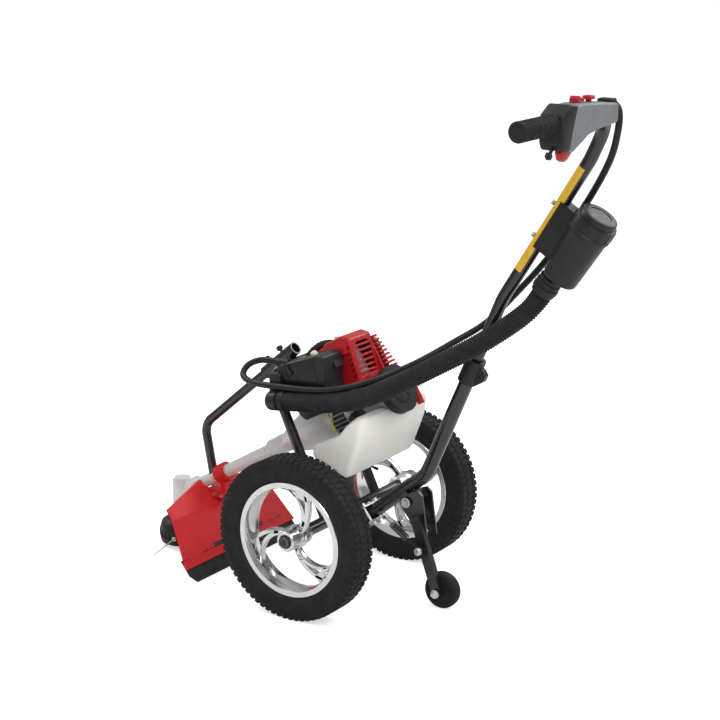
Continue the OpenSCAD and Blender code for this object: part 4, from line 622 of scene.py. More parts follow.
def wheelSeat(side, v):
    spot = Matrix.Translation(at(side * v["track"] / 2, 0, v["axle"]))
    return spot @ Matrix.Rotation(side * pi / 2, 4, "Y")


def mirroredProfile(half):
    return half + [(r, -a) for r, a in reversed(half) if abs(a) > 1e-9]


def makeTyre(side, v):
    name = sideNames[side]
    bm = lathe(mirroredProfile(v["profile"]) + v["inside"], 88, True)
    step = 2 * pi / v["lugs"]
    wide = v["tip"] * step * v["duty"]
    rows = [(v["row"], v["half"], v["edgeDeep"], 0.0, 1), (-v["half"], -v["row"], v["edgeDeep"], 0.0, -1),
            (-v["middle"], v["middle"], v["middleDeep"], 0.5, 0)]
    turn = Matrix(((0, 0, 1, 0), (1, 0, 0, 0), (0, 1, 0, 0), (0, 0, 0, 1)))
    for low, high, deep, shift, lean in rows:
        for i in range(v["lugs"]):
            lug = block((wide, high - low, deep), 1.1)
            for vert in lug.verts:
                vert.co.x *= 1 - v["taper"] * (vert.co.z * 1000 / deep + 0.5)
                if lean and vert.co.y * lean > 0 and vert.co.z > 0:
                    vert.co.y -= lean * v["lean"] / 1000
            spot = ringSpot((i + shift + v["duty"] / 2) * step, v["tip"] - deep / 2, (low + high) / 2)
            pour(bm, lug, spot @ turn)
    stemSpot = ringSpot(radians(v["stemAngle"]), v["stemIn"], 0) @ Matrix.Rotation(pi / 2, 4, "Y")
    pour(bm, lathe(v["stem"], 16), stemSpot)
    standIn(name + "TyreKnobbed", shifted(bm, wheelSeat(side, wheelValues)), "tyreRubber", 40, name + "_tyre")


for side in sideNames:
    makeTyre(side, tyreValues)

standWheelValues = {
    "place": (-4, -212.902, 36),
    "profile": [(4.3, 12), (11, 12), (12, 10.5), (26, 10.5), (27.5, 12), (31, 11.6), (34, 10), (35.6, 7),
        (36, 3), (36, 0)],
}


def makeStandWheel(v):
    bm = shifted(lathe(mirroredProfile(v["profile"]), 64, True), placed(at(*v["place"]), axisX))
    standIn("standWheelSolid", bm, "tyreRubber", 30, "stand_wheel")


makeStandWheel(standWheelValues)

# cutter: turned head with grip ribs, bump knob and line eyelets
headValues = {
    "place": (0, 427.965, 5), "ribs": 28, "rib": (3.4, 2.2, 17), "ribOut": 48.8, "ribHeight": 24.5,
    "lineAngle": 194.4, "lineOut": 49.6, "lineHeight": 20,
    "eyelet": [(1.5, -3), (5, -3), (5, 0.4), (4.2, 1.2), (2.4, 1.2), (1.5, 0.6)],
    "profile": [(0, 0), (17, 0), (19, 0.8), (19.6, 2.6), (23, 3), (37, 1.6), (41, 1), (46.5, 3.6),
        (48.4, 8), (49.2, 15), (48.6, 16), (48.6, 24), (49.4, 25), (49.4, 34), (48.2, 38), (46, 45.5),
        (44, 48.6), (37, 53.4), (34, 56.5), (32, 60), (30.6, 64), (30, 70.8), (29, 72), (7, 72), (7, 52),
        (0, 52)],
}


def makeHead(v):
    bm = lathe(v["profile"], 72)
    addRibs(bm, v["ribs"], v["rib"], 0.7, v["ribOut"], v["ribHeight"])
    standIn("trimmerHeadTurned", moved(bm, at(*v["place"])), "blackPlastic", 32, "trimmer_head")
    rings = bmesh.new()
    for half in (0, 180):
        a = radians(v["lineAngle"] + half)
        out = Vector((cos(a), sin(a), 0))
        spot = Vector(v["place"]) + out * v["lineOut"] + Vector((0, 0, v["lineHeight"]))
        pour(rings, lathe(v["eyelet"], 20, True), placed(at(*spot), out))
    addExtra("lineEyelets", rings, "machinedSteel", 30, "steel", "cutter")


makeHead(headValues)

# handle: ribbed grip, filter bowl and lid, plain yellow strip
gripValues = {
    "outer": -340, "inner": -228, "pitch": 7.68, "count": 13, "wall": 6, "bore": 12.3,
    "start": [(0, 0), (14.6, 0), (16.6, 0.6), (17.5, 2.2), (17.5, 5)],
    "rib": [(14.8, 0), (14.8, 2.6), (17.0, 3.2), (17.4, 5.0), (16.8, 7.0)],
    "end": [(14.8, -5), (17.5, -4.4), (17.5, -0.8), (16.8, 0)],
}


def makeGrip(v):
    floor = v["outer"] + v["wall"]
    profile = [(r, v["outer"] + a) for r, a in v["start"]]
    for i in range(v["count"]):
        profile += [(r, floor + i * v["pitch"] + a) for r, a in v["rib"]]
    profile += [(r, v["inner"] + a) for r, a in v["end"]]
    profile += [(v["bore"], v["inner"]), (v["bore"], floor), (0, floor)]
    bm = shifted(lathe(profile, 48), placed(at(*handleTop), axisX))
    standIn("gripRibbed", bm, "blackRubber", 34, "grip_rubber")


makeGrip(gripValues)

filterValues = {
    "along": 100.5, "off": 70, "neckOff": 13, "ribs": 12, "rib": (2.4, 3.4, 20), "ribOut": 39.6,
    "ribHeight": 121,
    "bowl": [(0, 2.5), (28, 2.5), (28.5, 0), (30.6, 0.5), (32, 2.4), (32.5, 6), (37.2, 98), (37.9, 100),
        (37.9, 114.6), (35, 115), (30.4, 6), (0, 6)],
    "lid": [(40, 105), (40, 110), (39.2, 111), (39.2, 113), (40, 114), (40, 130), (39.2, 132.2), (37, 133),
        (35.4, 133.4), (35, 141), (33.6, 143.8), (31, 145), (22, 145), (21, 143.6), (0, 143.6), (0, 130),
        (35.4, 130), (35.4, 115.4), (38.3, 115.4), (38.3, 105)],
    "neck": [(15.2, -24), (15.2, -7), (17.5, -6), (19.5, -5), (19.5, 0.6), (21, 3), (12, 3), (12, -24)],
}


def makeFilter(v):
    aft = Vector((0, -handleUp.z, handleUp.y))
    base = handleKink + handleUp * v["along"] + aft * v["off"]
    seat = placed(at(*base), handleUp)
    bowl = shifted(lathe(v["bowl"], 56), seat)
    pour(bowl, lathe(v["neck"], 32, True), placed(at(*(base - aft * v["neckOff"])), handleUp))
    standIn("filterBowlTurned", bowl, "coverPlastic", 30, "filter_bowl")
    lid = lathe(v["lid"], 56)
    addRibs(lid, v["ribs"], v["rib"], 0.7, v["ribOut"], v["ribHeight"], 0.5)
    standIn("filterLidTurned", shifted(lid, seat), "coverPlastic", 30, "filter_lid")


makeFilter(filterValues)

stripValues = {
    "low": 66, "high": 296, "radius": 12.25, "facing": 168, "spread": 38, "cells": 12, "thick": 0.2,
}


def makeStrip(v):
    fore = handleUp.cross(axisX)
    cells = v["cells"]
    bm = bmesh.new()
    rows = []
    for k in range(cells + 1):
        foot = handleKink + handleUp * (v["low"] + (v["high"] - v["low"]) * k / cells)
        row = []
        for i in range(cells + 1):
            a = radians(v["facing"] + v["spread"] * (2 * i / cells - 1))
            out = (cos(a) * axisX + sin(a) * fore) * v["radius"]
            row.append(bm.verts.new(at(*(foot + out))))
        rows.append(row)
    bridge(bm, rows, False)
    faced(bm)
    bmesh.ops.solidify(bm, geom=bm.faces[:], thickness=-v["thick"] / 1000)
    addExtra("yellowStrip", faced(bm), "yellowFilm", 30, "frame_black")


makeStrip(stripValues)

# turned small pieces: fuel cap, thumb screws, plug boot, hose collars
capValues = {"place": (-80, -72, 374), "lean": -53, "ribs": 22, "radius": 17, "height": 16}
knobValues = {
    "place": (0, 205.992, 405.911), "lean": 50, "runs": [22, 62], "start": 9.8, "knob": 16.5, "height": 9,
    "radius": 6.5, "ribs": 12,
}
bootValues = {
    "d": 16, "cells": 60, "ripple": 0.5, "ripples": range(15, 36), "tip": 2.4, "tipStart": 52,
    "points": [(-8, 36, 124), (-14, 50, 135), (-22, 68, 139), (-30, 90, 133), (-34, 106, 121),
        (-35, 112, 106)],
}
collarValues = {
    "cuffBack": 8,
    "ring": [(19.7, 0), (21.2, 0), (21.7, 0.6), (21.7, 2.6), (21, 3.2), (21, 6.8), (21.7, 7.4),
        (21.7, 9.4), (21.2, 10), (19.7, 10)],
    "cuff": [(19.7, 0), (22.6, 0), (23.2, 0.8), (23.2, 5), (22.4, 6), (22.4, 9), (24.2, 9.6), (24.2, 17),
        (22.4, 17.6), (22.4, 24), (21.4, 26), (19.7, 26)],
}


def ribbedKnob(v):
    r, h = v["radius"], v["height"]
    bm = lathe([(0, 0), (r - 0.9, 0), (r - 0.6, 0.4), (r - 0.6, h - 1.6), (r - 2, h - 0.2), (r * 0.6, h),
                (r * 0.5, h - 1), (0, h - 1)], 44)
    addRibs(bm, v["ribs"], (1.8, pi * r / v["ribs"], h - 2), 0.5, r - 0.9, (h - 1) / 2)
    return bm


def makeCap(v):
    bm = shifted(ribbedKnob(v), placed(at(*v["place"]), runDir(v["lean"])))
    standIn("fuelCapRibbed", bm, "blackPlastic", 32, "fuel_cap")


def makeThumbScrews(v):
    up = runDir(v["lean"])
    out = Vector((0, up.z, -up.y))
    low, high = v["start"], v["knob"] + 0.4
    for name, run in zip(("front", "rear"), v["runs"]):
        base = Vector(v["place"]) + up * run
        bm = shifted(ribbedKnob(v), placed(at(*(base + out * v["knob"])), out))
        shank = lathe([(0, low), (2.6, low), (3, low + 0.5), (3, high), (0, high)], 20)
        pour(bm, shank, placed(at(*base), out))
        standIn(name + "ThumbScrew", bm, "blackPlastic", 32, name + "_thumb_screw")


def makeBoot(v):
    way = evenRoute([atEngine(*p) for p in v["points"]], v["cells"])[0]
    radii = [v["d"] / 2 for p in way]
    for i in range(len(way)):
        radii[i] += v["ripple"] if i in v["ripples"] and i % 4 < 2 else 0
        radii[i] -= v["tip"] if i > v["tipStart"] else 0
    bm = sweepTube(way, [r / 1000 for r in radii], 24)
    standIn("plugBootTurned", bm, "blackRubber", 32, "plug_boot")


def makeCollars(v):
    bm = bmesh.new()
    for place, way in ((neckEnd - neckDir * hoseValues["lap"], neckDir), (hornPlace, hornDir)):
        pour(bm, lathe(v["ring"], 40, True), placed(at(*place), way))
    pour(bm, lathe(v["cuff"], 48, True), placed(at(*(neckEnd - neckDir * v["cuffBack"])), neckDir))
    standIn("hoseCollarsTurned", bm, "blackPlastic", 32, "hose_collars")


makeCap(capValues)
makeThumbScrews(knobValues)
makeBoot(bootValues)
makeCollars(collarValues)

# stand spring: close coils between two straight leads, stretched between the frame and the leg
springValues = {
    "top": (-22.1, -78.554, 173.044), "low": (-40, -183.081, 120.851), "clear": 3.9, "lead": 32.7,
    "curls": 15, "pitch": 3, "radius": 6.5, "wire": 1.0, "steps": 24,
}


def makeSpring(v):
    top, low = Vector(v["top"]), Vector(v["low"])
    way = (low - top).normalized()
    side = (axisX - axisX.dot(way) * way).normalized()
    cross = way.cross(side)
    start, end = v["clear"], (low - top).length - v["clear"]
    turns = v["curls"] * v["steps"]
    points = [top + way * start, top + way * (start + v["lead"] / 2)]
    for k in range(turns + 1):
        a = 2 * pi * k / v["steps"]
        r = v["radius"] * min(1, a / pi, (2 * pi * v["curls"] - a) / pi)
        run = start + v["lead"] + v["curls"] * v["pitch"] * k / turns
        points.append(top + way * run + r * (cos(a) * side + sin(a) * cross))
    points += [top + way * (end - v["lead"] / 2), top + way * end]
    bm = sweepTube([at(*p) for p in points], [v["wire"] / 1000] * len(points), 10)
    piece = standIn("standSpringCoil", bm, "glossBlackPaint", 60, "stand_spring", blended=True)
    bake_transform(piece)


makeSpring(springValues)
print("turned pieces made")

# engine covers: red shroud with barred window, black intake cover, milky tank
shroudValues = {
    "x": (-40, 35), "wall": 2.5, "outline": [(3, 38), (58, 38), (58, 128), (48, 137), (2, 137), (-14, 124)],
    "inside": [(5.6, 30), (55.5, 30), (55.5, 127), (47, 134.5), (3, 134.5), (-11.2, 123)],
    "nose": [(54, 66), (54, 133), (62, 132), (98, 124), (112, 112), (116, 96), (108, 84), (70, 64)],
    "ridge": [(2, 100), (30, 104), (34, 116), (18, 124), (-4, 118)], "window": (-30, 25, 52, 115),
    "corner": 13, "depth": (-34, 14), "bars": 6, "bar": (3.4, 4.6), "barMargin": (5, 7), "barIn": 1.6,
    "barGap": 1, "topBarGap": 6,
    "sill": (7, 2, 3), "sillDrop": 4, "vents": 6, "ventStart": (6, 52), "ventStep": 11, "ventDepth": (4, 6),
    "vent": [(0, 0), (10, 1.5), (-1.4, 7)],
    "ports": [(18.8, -45, -20, (0, 24, 100)), (18.8, 20, 40, (0, 6, 100))], "plug": (17, 0, 62),
    "plugAt": (-4, 26, 137), "plugDir": (-0.619458, 0.707952, 0.339227),
}


def roundedWindow(x0, x1, n0, n1, corner, c0, c1):
    points = []
    flat = corner / 3
    for x, n, tall, start in ((x1 - corner, n0 + flat, flat, -90), (x1 - corner, n1 - corner, corner, 0),
                              (x0 + corner, n1 - corner, corner, 90), (x0 + corner, n0 + flat, flat, 180)):
        for k in range(6):
            a = radians(start + 18 * k)
            points.append((x + corner * cos(a), c0, n + tall * sin(a)))
    return extruded(points, (0, c1 - c0, 0))


def makeShroud(v):
    x0, x1 = v["x"]
    (footC, footN), (browC, browN) = v["outline"][0], v["outline"][-1]

    def rearAt(n):
        return footC + (browC - footC) * (n - footN) / (browN - footN)
    cutters = [prism(v["inside"], x0 + v["wall"], x1 - v["wall"]),
               roundedWindow(*v["window"], v["corner"], *v["depth"])]
    ventIn, ventLow = v["ventStart"]
    outside, inside = v["ventDepth"]
    for i in range(v["vents"]):
        n = ventLow + i * v["ventStep"]
        c = rearAt(n) + ventIn
        cutters.append(prism([(c + a, n + b) for a, b in v["vent"]], x0 - outside, x0 + inside))
    cutters += [rod(d, low, high, Vector(place) / 1000, axisX) for d, low, high, place in v["ports"]]
    cutters.append(rod(*v["plug"], Vector(v["plugAt"]) / 1000, Vector(v["plugDir"])))
    bm = cutOut(prism(v["outline"], x0, x1, 4.0, 3), cutters)
    left, right, low, high = v["window"]
    middle = (left + right) / 2
    under, over = v["barMargin"]
    for i in range(v["bars"]):
        n = low + under + i * (high - low - under - over) / (v["bars"] - 1)
        gap = v["topBarGap"] if i == v["bars"] - 1 else v["barGap"]
        bar = block((right - left - gap, *v["bar"]), 1.0)
        pour(bm, moved(bar, Vector((middle, rearAt(n) + v["barIn"], n)) / 1000))
    past, thick, tall = v["sill"]
    sillN = low - v["sillDrop"]
    sill = block((right - left + past, thick, tall), 0.6)
    pour(bm, moved(sill, Vector((middle, rearAt(sillN), sillN)) / 1000))
    pour(bm, prism(v["nose"], x0 + 2, x1 - 2, 6.0, 3))
    pour(bm, prism(v["ridge"], x0 - 5, x0 + 1, 2.0))
    standIn("topShroudMoulded", shifted(bm, engineSeat), "redPlastic", 32, "top_shroud")


makeShroud(shroudValues)

coverValues = {
    "x": (-112, -46), "lowX": (-99, -47),
    "upper": [(33, 54), (70, 60), (126, 92), (130, 104), (130, 124), (112, 136), (22, 121), (6, 111)],
    "lower": [(33, 40), (56, 40), (84, 18), (118, 18), (127, 34), (127, 110), (52, 122), (24, 112)],
    "panel": [(42, 72), (70, 76), (119, 102), (119, 119), (107, 126), (32, 112)], "choke": (-112, 92, 112),
    "chokeHole": (7.4, -10, 8), "chokeDip": (20, -14, 14),
    "horn": [(13.4, 0), (15, 0), (15, 17.4), (15.4, 18), (19.5, 18.2), (19.5, 34), (18.6, 38), (16, 41.4),
        (12, 43.4), (0, 44.2), (0, 20), (13.4, 20)],
    "duct": (18, 27, 52), "ductAt": (-113, 98, 423), "glandAt": (-76, 121, 457.5),
    "gland": [(0, 0), (7.4, 0), (8.2, 1), (8.2, 4), (7.4, 5), (7.4, 8), (8.2, 9), (8.2, 26), (0, 26)],
}


def makeCover(v):
    x0, x1 = v["x"]
    choke = Vector(v["choke"]) / 1000
    bm = cutOut(prism(v["upper"], x0, x1, 7.0, 4), [rod(*v["chokeHole"], choke, axisX, 24)])
    pour(bm, prism(v["lower"], *v["lowX"], 5.0, 3))
    pour(bm, cutOut(prism(v["panel"], x0 - 1.4, x0 + 1, 1.2), [rod(*v["chokeDip"], choke, axisX, 24)]))
    shifted(bm, engineSeat)
    pour(bm, lathe(v["horn"], 40), placed(at(*hornPlace), hornDir))
    pour(bm, moved(block(v["duct"], 6.0, 3), at(*v["ductAt"])))
    pour(bm, lathe(v["gland"], 28), placed(at(*v["glandAt"]), Vector((0, -1, 0))))
    standIn("intakeCoverMoulded", bm, "coverPlastic", 32, "intake_cover")


makeCover(coverValues)

# the tank's outline is measured from the axle; each end pairs a half width with a share of the outline
tankValues = {
    "outline": [(18, 140), (16.5, 152), (10, 160), (-44, 188), (-55, 198), (-64, 211), (-82, 227),
        (-92, 230), (-101, 226), (-105, 216), (-99, 184), (-73, 116), (-67, 108), (-58, 104), (9, 129),
        (15, 132)],
    "ends": [(120, 0.69), (119.4, 0.77), (117.6, 0.845), (114.7, 0.909), (111, 0.958), (106.7, 0.989),
        (102, 1.0)],
    "saddles": [(77, -30, 62), (97, -60, -30), (93, 60, 130)], "notch": ((-17, -2, 0), (17, 200, 317)),
    "neck": [(9, -4), (11.9, -4), (11.9, 6), (9, 6)],
}


def makeTank(v):
    count = len(v["outline"])
    midY = sum(a for a, b in v["outline"]) / count
    midZ = sum(b for a, b in v["outline"]) / count
    axle = wheelValues["axle"]
    bm = bmesh.new()
    rings = []
    for x, k in [(-x, k) for x, k in v["ends"]] + v["ends"][::-1]:
        ring = [(x, midY + (a - midY) * k, axle + midZ + (b - midZ) * k) for a, b in v["outline"]]
        rings.append([bm.verts.new(at(*p)) for p in ring])
    bridge(bm, rings)
    bm.faces.new(rings[0])
    bm.faces.new(rings[-1])
    faced(bm)
    cutters = [rod(*saddle, atEngine(0, 0, 0), engineDir(0, 1, 0), 64) for saddle in v["saddles"]]
    cutters.append(moved(holdBlock(*v["notch"]), seatPlace / 1000))
    bm = cutOut(bm, cutters)
    pour(bm, lathe(v["neck"], 36, True), placed(at(*capValues["place"]), runDir(capValues["lean"])))
    standIn("fuelTankBlown", bm, "milkPlastic", 42, "fuel_tank")


makeTank(tankValues)

# throttle: moulded grey arm, black outer shell, dark end block
throttleValues = {
    "half": 22, "bore": (24.3, -260, 10), "endBore": (24.3, -60, 10), "cable": (11.6, -3, 4),
    "cableAt": (-14, -4, 12),
    "inner": [(-22, -16), (-22, 17), (-60, 21), (-150, 28), (-172, 27), (-187, -10), (-200, -46),
        (-186, -48), (-150, -34), (-132, -26), (-90, -20)],
    "outer": [(-172.4, 27), (-198, 31), (-226, 16), (-228, 0), (-228, -30), (-222, -42), (-200.4, -46),
        (-187.4, -10)],
    "slots": [((-206, -6.5, -60), (-128, 6.5, -12)), ((-150.5, -4.5, 10), (-131.5, 4.5, 40)),
        ((-99.5, -4.5, 10), (-90.5, 4.5, 40))],
    "block": ((-36, -14, -2), (-14, 14, 24)),
}


def makeThrottle(v):
    seat = Matrix.Translation(at(*handleTop))
    shells = [("throttleArm", "inner", 5.0, "greyPlastic"), ("throttleShell", "outer", 4.0, "blackPlastic")]
    for name, part, bevel, look in shells:
        cutters = [rod(*v["bore"], Vector(), axisX)] + [holdBlock(*slit) for slit in v["slots"]]
        bm = cutOut(sidePrism(v[part], v["half"], bevel, 3), cutters)
        standIn(name, shifted(bm, seat), look, 36, "throttle_" + part + "_shell")
    bores = [rod(*v["endBore"], Vector(), axisX), rod(*v["cable"], Vector(v["cableAt"]) / 1000, axisX)]
    end = cutOut(holdBlock(*v["block"], 2.4, 2), bores)
    addExtra("throttleEndBlock", shifted(end, seat), "blackPlastic", 36, "plastic_grey")


makeThrottle(throttleValues)
print("covers made")

# rims: broad swirl spokes with leaf slots, bosses, hub ring and dark axle nut
rimValues = {
    "seat": 104, "half": 23, "flange": 113, "spokes": 3, "ribs": (0.53, 0.76), "thick": 6.5, "extra": 5.0,
    "slot": (46, 84), "flare": 11, "cells": 12, "root": 14, "phase": {-1: 36.5, 1: 67.5}, "bosses": (30, 93),
    "nutOut": 225.4, "nut": (19.4, 7.6), "nutLift": 2.6,
    "hub": [(23, 9), (20, 14), (20, 29), (19.4, 30.8), (18, 32), (14.2, 32)],
    "washer": [(6.2, 0), (13.4, 0), (13.4, 0.8), (11, 1.2), (10.6, 2.2), (6.2, 2.2)],
    "stud": [(0, 10), (5.6, 10), (5.6, 12.6), (4.8, 13.4), (0, 13.4)],
}


def makeSpokes(side, v):
    thick, extra, root, tip = v["thick"], v["extra"], v["root"], v["seat"] - 3.5
    low, high = v["slot"]
    first, second = [2 * v["seat"] * k for k in v["ribs"]]
    boss = [(0, 0), (4.6, 0), (4.6, thick + 0.8), (3.8, thick + 1.6), (2.6, thick + 1.6), (2.2, thick + 0.9),
            (0, thick + 0.9)]
    strips = [(first, -extra, first, extra, root, tip, 0), (second, -extra, second, extra, root, tip, 0),
              (first, -2, second, 2, root, low, 0), (first, -extra, second, extra, high, tip, v["flare"])]
    shares = [k / v["cells"] for k in range(v["cells"] + 1)]

    def edge(r, way, push):
        return side * (pi / 2 - asin(min(1, r / way)) + push / r)
    bm = bmesh.new()
    for i in range(v["spokes"]):
        turn = 2 * pi * i / v["spokes"] + radians(v["phase"][side])
        for wayA, pushA, wayB, pushB, start, end, flare in strips:
            steps = [(start + k * (end - start), flare * k ** 2) for k in shares]
            ring = [(r, edge(r, wayA, pushA - grow)) for r, grow in steps]
            ring += [(r, edge(r, wayB, pushB + grow)) for r, grow in reversed(steps)]
            shape = [(r * cos(a + turn), r * sin(a + turn)) for r, a in ring]
            pour(bm, prism(shape, -thick, thick, 1.6))
        for r in v["bosses"]:
            a = (edge(r, first, 0) + edge(r, second, 0)) / 2 + turn
            spot = Matrix.Translation((0, r * cos(a) / 1000, r * sin(a) / 1000))
            pour(bm, lathe(boss, 20), spot @ Matrix.Rotation(pi / 2, 4, "Y"))
    return bm


def makeRim(side, v):
    name = sideNames[side]
    half, seat, flange = v["half"], v["seat"], v["flange"]
    barrel = [(seat - 1.8, -half), (flange - 1, -half), (flange, 1 - half), (flange, -20.6),
              (flange - 0.8, -20), (seat, -20), (seat - 1.6, -12), (seat - 2, 0)]
    barrel += [(r, -a) for r, a in reversed(barrel[:-1])]
    barrel += [(seat - 2, half - 0.6), (seat - 4.6, 14), (seat - 4.8, 0), (seat - 4.6, -14),
               (seat - 2, 0.6 - half)]
    bm = lathe(barrel, 96, True)
    upright = Matrix(((0, 1, 0, 0), (0, 0, 1, 0), (1, 0, 0, 0), (0, 0, 0, 1)))
    pour(bm, makeSpokes(side, v), upright)
    pour(bm, lathe([(r, -a) for r, a in reversed(v["hub"])] + v["hub"], 48, True))
    standIn(name + "RimSpoked", shifted(bm, wheelSeat(side, wheelValues)), "brightAlloy", 34, name + "_rim")
    nut = lathe(v["washer"], 36, True)
    pour(nut, hexHead(*v["nut"]), Matrix.Translation((0, 0, v["nutLift"] / 1000)))
    pour(nut, lathe(v["stud"], 24))
    shifted(nut, placed(at(side * v["nutOut"], 0, wheelValues["axle"]), side * axisX))
    addExtra(name + "AxleNut", nut, "exhaustBlack", 32, "zinc")


for side in sideNames:
    makeRim(side, rimValues)
print("rims made")

# bolts in bright zinc: stand pivot, spring stub and stand wheel, each with its side, width and height
boltValues = {
    "heads": [((-24.6, -139.902, 203.873), -1, 17, 6, "chassis"),
        ((24.6, -139.902, 203.873), 1, 17, 6, "chassis"), ((-48.2, -183.081, 120.851), -1, 14, 5, "stand"),
        ((-34.2, -212.902, 36), -1, 15, 5, "stand"), ((13, -212.902, 36), 1, 15, 5, "stand")],
}


def makeBolts(v):
    for i, (place, side, d, h, body) in enumerate(v["heads"]):
        bm = shifted(hexHead(d, h), placed(at(*place), side * axisX))
        addExtra("boltHead%d" % i, bm, "zincPlate", 30, "zinc", body)


makeBolts(boltValues)

# trigger blade with its pivot pin
triggerValues = {
    "pivot": (-136, -536.435, 953.797), "half": 6, "pin": [(0, -11), (2, -11), (2, 11), (0, 11)],
    "outline": [(5, -6), (5, 5), (-20, 0), (-45, -9), (-62, -14), (-66, -24), (-60, -36), (-52, -40),
        (-40, -37), (-28, -29), (-10, -14)],
}


def makeTrigger(v):
    bm = sidePrism(v["outline"], v["half"], 1.8, 2)
    pour(bm, lathe(v["pin"], 16), Matrix.Rotation(pi / 2, 4, "X"))
    shifted(bm, Matrix.Translation(at(*v["pivot"])))
    standIn("triggerBlade", bm, "redPlastic", 34, "throttle_trigger")


makeTrigger(triggerValues)

# muffler: dark box behind a red comb whose fins shorten upward
mufflerValues = {
    "x": (36, 72), "c": (-8, 40), "n": (46, 116), "inset": (12, 8, 8), "port": (17.6, 20, 44),
    "portAt": (0, 6, 100), "back": 4, "fins": 9, "fin": 4.8, "past": 8, "finBack": 3, "margin": 2,
    "reach": (50, 74),
}


def makeMuffler(v):
    low, high = [Vector((v["x"][k], v["c"][k], v["n"][k])) for k in (0, 1)]
    size, mid = high - low, (low + high) / 2
    bm = moved(block(size - Vector(v["inset"]), 5.0, 3), mid / 1000)
    pour(bm, rod(*v["port"], Vector(v["portAt"]) / 1000, axisX))
    standIn("mufflerBox", shifted(bm, engineSeat), "exhaustBlack", 34, "muffler")
    comb = moved(block((v["back"], size.y, size.z), 1.0), Vector((low.x, mid.y, mid.z)) / 1000)
    shortest, longest = v["reach"]
    for i in range(v["fins"]):
        share = i / (v["fins"] - 1)
        reach = longest + (shortest - longest) * share - low.x
        n = low.z + v["margin"] + share * (size.z - 2 * v["margin"])
        fin = block((reach, size.y + v["past"], v["fin"]), 1.2, 2)
        pour(comb, moved(fin, Vector((low.x + reach / 2, mid.y - v["finBack"], n)) / 1000))
    addExtra("mufflerComb", shifted(comb, engineSeat), "redPlastic", 32, "plastic_red")


makeMuffler(mufflerValues)

# ivory primer nipple, clutch bell with its dark fan band and fins, starter plate
nippleValues = {
    "place": (-84, 42, 123), "way": (-0.2, 0, 1),
    "profile": [(0, -4), (6.4, -4), (7, -2), (7, 5), (6, 7.6), (3.6, 9), (0, 9.6)],
}
clutchValues = {
    "fins": 19, "start": -40, "step": 11, "fin": (13, 40, 2.4), "finAt": (-42, 84, 0),
    "bell": [(34, 60.5), (46.2, 60.5), (46.2, 120), (45.4, 150), (42.4, 180), (37.5, 204), (30.5, 228),
        (23, 247), (20, 256), (19.6, 258), (19.6, 274), (18.4, 275.4), (14.8, 275.4), (14.8, 230)],
    "band": [(44, 66), (46.5, 66), (46.5, 102), (44, 102)],
}
plateValues = {
    "back": -48.2, "holes": 6, "hole": (8, -6, 8), "holeOut": 20,
    "profile": [(0, 3.4), (7, 3.4), (8.4, 2.4), (8.4, 1), (22, 0.8), (30, 1.2), (31.5, 0.6), (32, -0.6),
        (0, -0.6)],
}


def makeNipple(v):
    bm = shifted(lathe(v["profile"], 28), placed(atEngine(*v["place"]), engineDir(*v["way"])))
    addExtra("primerNipple", bm, "ivoryCap", 32, "tank_white")


def makeClutch(v):
    around = engineSeat @ Matrix.Rotation(-pi / 2, 4, "X")
    bell = shifted(lathe(v["bell"], 72, True), around)
    addExtra("clutchBell", bell, "silverPaint", 36, "cast_grey")
    band = shifted(lathe(v["band"], 72, True), around)
    addExtra("fanBand", band, "exhaustBlack", 36, "exhaust")
    fins = bmesh.new()
    out = Matrix.Translation(Vector(v["finAt"]) / 1000)
    for i in range(v["fins"]):
        turn = Matrix.Rotation(radians(v["start"] + i * v["step"]), 4, "Y")
        pour(fins, block(v["fin"], 0.6), turn @ out)
    addExtra("clutchFins", shifted(fins, engineSeat), "castAlloy", 32, "cast_grey")


def makePlate(v):
    holes = []
    for i in range(v["holes"]):
        a = 2 * pi * i / v["holes"]
        spot = Vector((cos(a), sin(a), 0)) * v["holeOut"] / 1000
        holes.append(rod(*v["hole"], spot, Vector((0, 0, 1)), 20))
    bm = cutOut(lathe(v["profile"], 48), holes)
    shifted(bm, placed(atEngine(0, v["back"], 0), engineDir(0, -1, 0)))
    addExtra("starterPlate", bm, "blackPlastic", 32, "zinc")


makeNipple(nippleValues)
makeClutch(clutchValues)
makePlate(plateValues)

# cylinder and piston: copies moved forward along the crank, under the upright shroud; in metres
cylinderValues = {"centre": 0.006, "shift": 0.022, "squeeze": 0.82}


def makeCylinder(v):
    for name, node in (("cylinderFinned", "cylinder_block"), ("pistonMoved", "piston_and_rod")):
        bm = shifted(nodeMesh(node), engineSeat.inverted())
        for vert in bm.verts:
            vert.co.y = v["centre"] + v["shift"] + (vert.co.y - v["centre"]) * v["squeeze"]
        standIn(name, shifted(bm, engineSeat), "castAlloy", 32, node)


makeCylinder(cylinderValues)

# guard: a copy creased along its width, with black blocks as painted shade for its slots, and dark dashes
creaseValues = {"low": 30, "fold": 115, "top": 154, "depth": 11}
guardMarkValues = {
    "line": ((271.965, 30), (336.965, 115)), "slots": [(-64, 0.22, 30, 9), (70, 0.22, 30, 9)],
    "dashes": [(-172, 12), (-112, 16), (-88, 16), (-12, 16), (14, 16), (40, 10), (112, 16), (140, 16)],
    "dashShare": 0.19, "dashTall": 1.6, "thick": 1.6, "proud": 0.2,
}


def creaseShift(z, v):
    below = z < v["fold"]
    share = (z - v["low"]) / (v["fold"] - v["low"]) if below else (v["top"] - z) / (v["top"] - v["fold"])
    return -v["depth"] * max(0, min(1, share)) / 1000


def makeGuard(v):
    bm = nodeMesh("guard")
    for vert in bm.verts:
        vert.co.y += creaseShift(vert.co.z * 1000, v)
    piece = standIn("guardCreased", bm, "redSheet", 14, "guard")
    softenEdges(piece, 0.8)


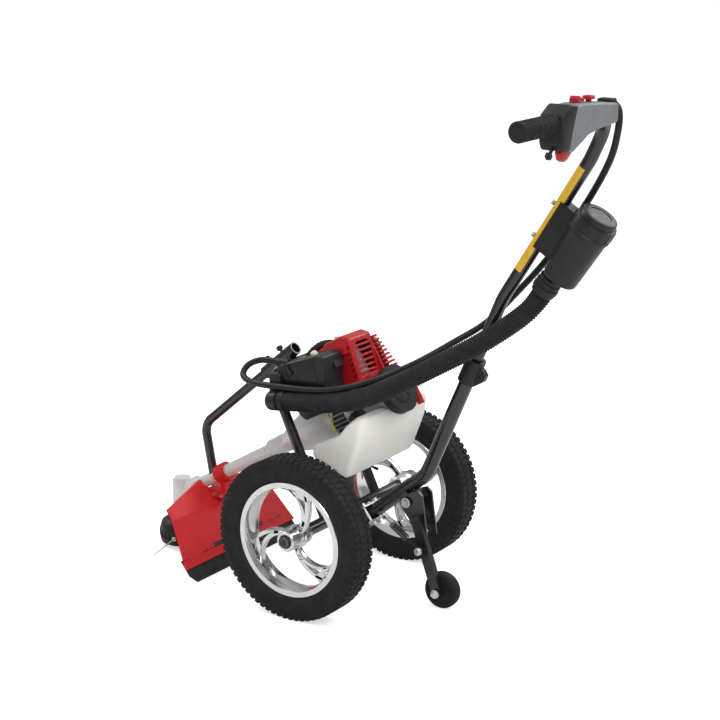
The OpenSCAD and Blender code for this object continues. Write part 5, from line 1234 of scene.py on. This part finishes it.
def makeGuardMarks(v):
    (lowY, lowZ), (topY, topZ) = v["line"]
    along = Vector((0, topY - lowY, topZ - lowZ))
    out = Vector((0, -along.z, along.y)).normalized()
    turn = Matrix((axisX, along.normalized(), out)).transposed().to_4x4()
    bm = bmesh.new()
    dashes = [(x, v["dashShare"], wide, v["dashTall"]) for x, wide in v["dashes"]]
    # the slot blocks are painted shade: black sheets where the guard's openings show dark
    for x, share, wide, tall in v["slots"] + dashes:
        spot = at(x, lowY + along.y * share, lowZ + along.z * share)
        spot.y += creaseShift(spot.z * 1000, creaseValues)
        mark = block((wide, tall, v["thick"]), 0.4)
        pour(bm, mark, Matrix.Translation(spot + out * v["proud"] / 1000) @ turn)
    addExtra("guardSlotShadeAndDashes", bm, "blackPlastic", 32, "soft_black")


makeGuard(creaseValues)
makeGuardMarks(guardMarkValues)
print("details made")

# carried-over solids: a softened copy where the edges show, a finish on the rest
dressed = [
    ("glossBlackPaint", 1.2, ["engine_post"]),
    ("glossBlackPaint", 1.0, ["stand_leg"]),
    ("blackPlastic", 1.0, ["handle_clamp", "filter_bracket", "choke_lever"]),
    ("blackPlastic", 0.8, ["starter_cover", "tube_end_plug"]),
    ("redPlastic", 1.0, ["stop_switch", "lock_button", "starter_grip"]),
    ("redSheet", 0.8, ["guard_clamp"]),
    ("castAlloy", 1.0, ["crankcase"]),
    ("silverPaint", 1.0, ["gearbox_case", "clutch_housing"]),
    ("blackPlastic", 1.0, ["carburettor"]),
]
for look, width, group in dressed:
    for node in group:
        dressNode(node, look, width)
idleScrewHeight = 0.9
dressNode("fasteners", "zincPlate", 0.4, (-1.0, idleScrewHeight))
dressNode("fasteners", "blackPlastic", 0.4, (idleScrewHeight, 9.0), "_idle")
plainLooks = {
    "glossBlackPaint": ["axle_beam", "frame_hoop", "handle_lower_tube", "handle_upper_tube", "adjuster_rod"],
    "machinedSteel": ["axle_rod", "wheel_bearings", "crankshaft", "flywheel", "shaft_bearings", "clutch_drum",
                      "drive_shaft", "output_gear"],
    "castAlloy": ["clutch_shoes"],
    "blackRubber": ["guard_skirt"],
    "silverPaint": ["drive_tube"],
    "nylonLine": ["cutting_line"],
}
for look, group in plainLooks.items():
    for node in group:
        nodes[node].data.materials.clear()
        nodes[node].data.materials.append(finish[look])
print("solids dressed")
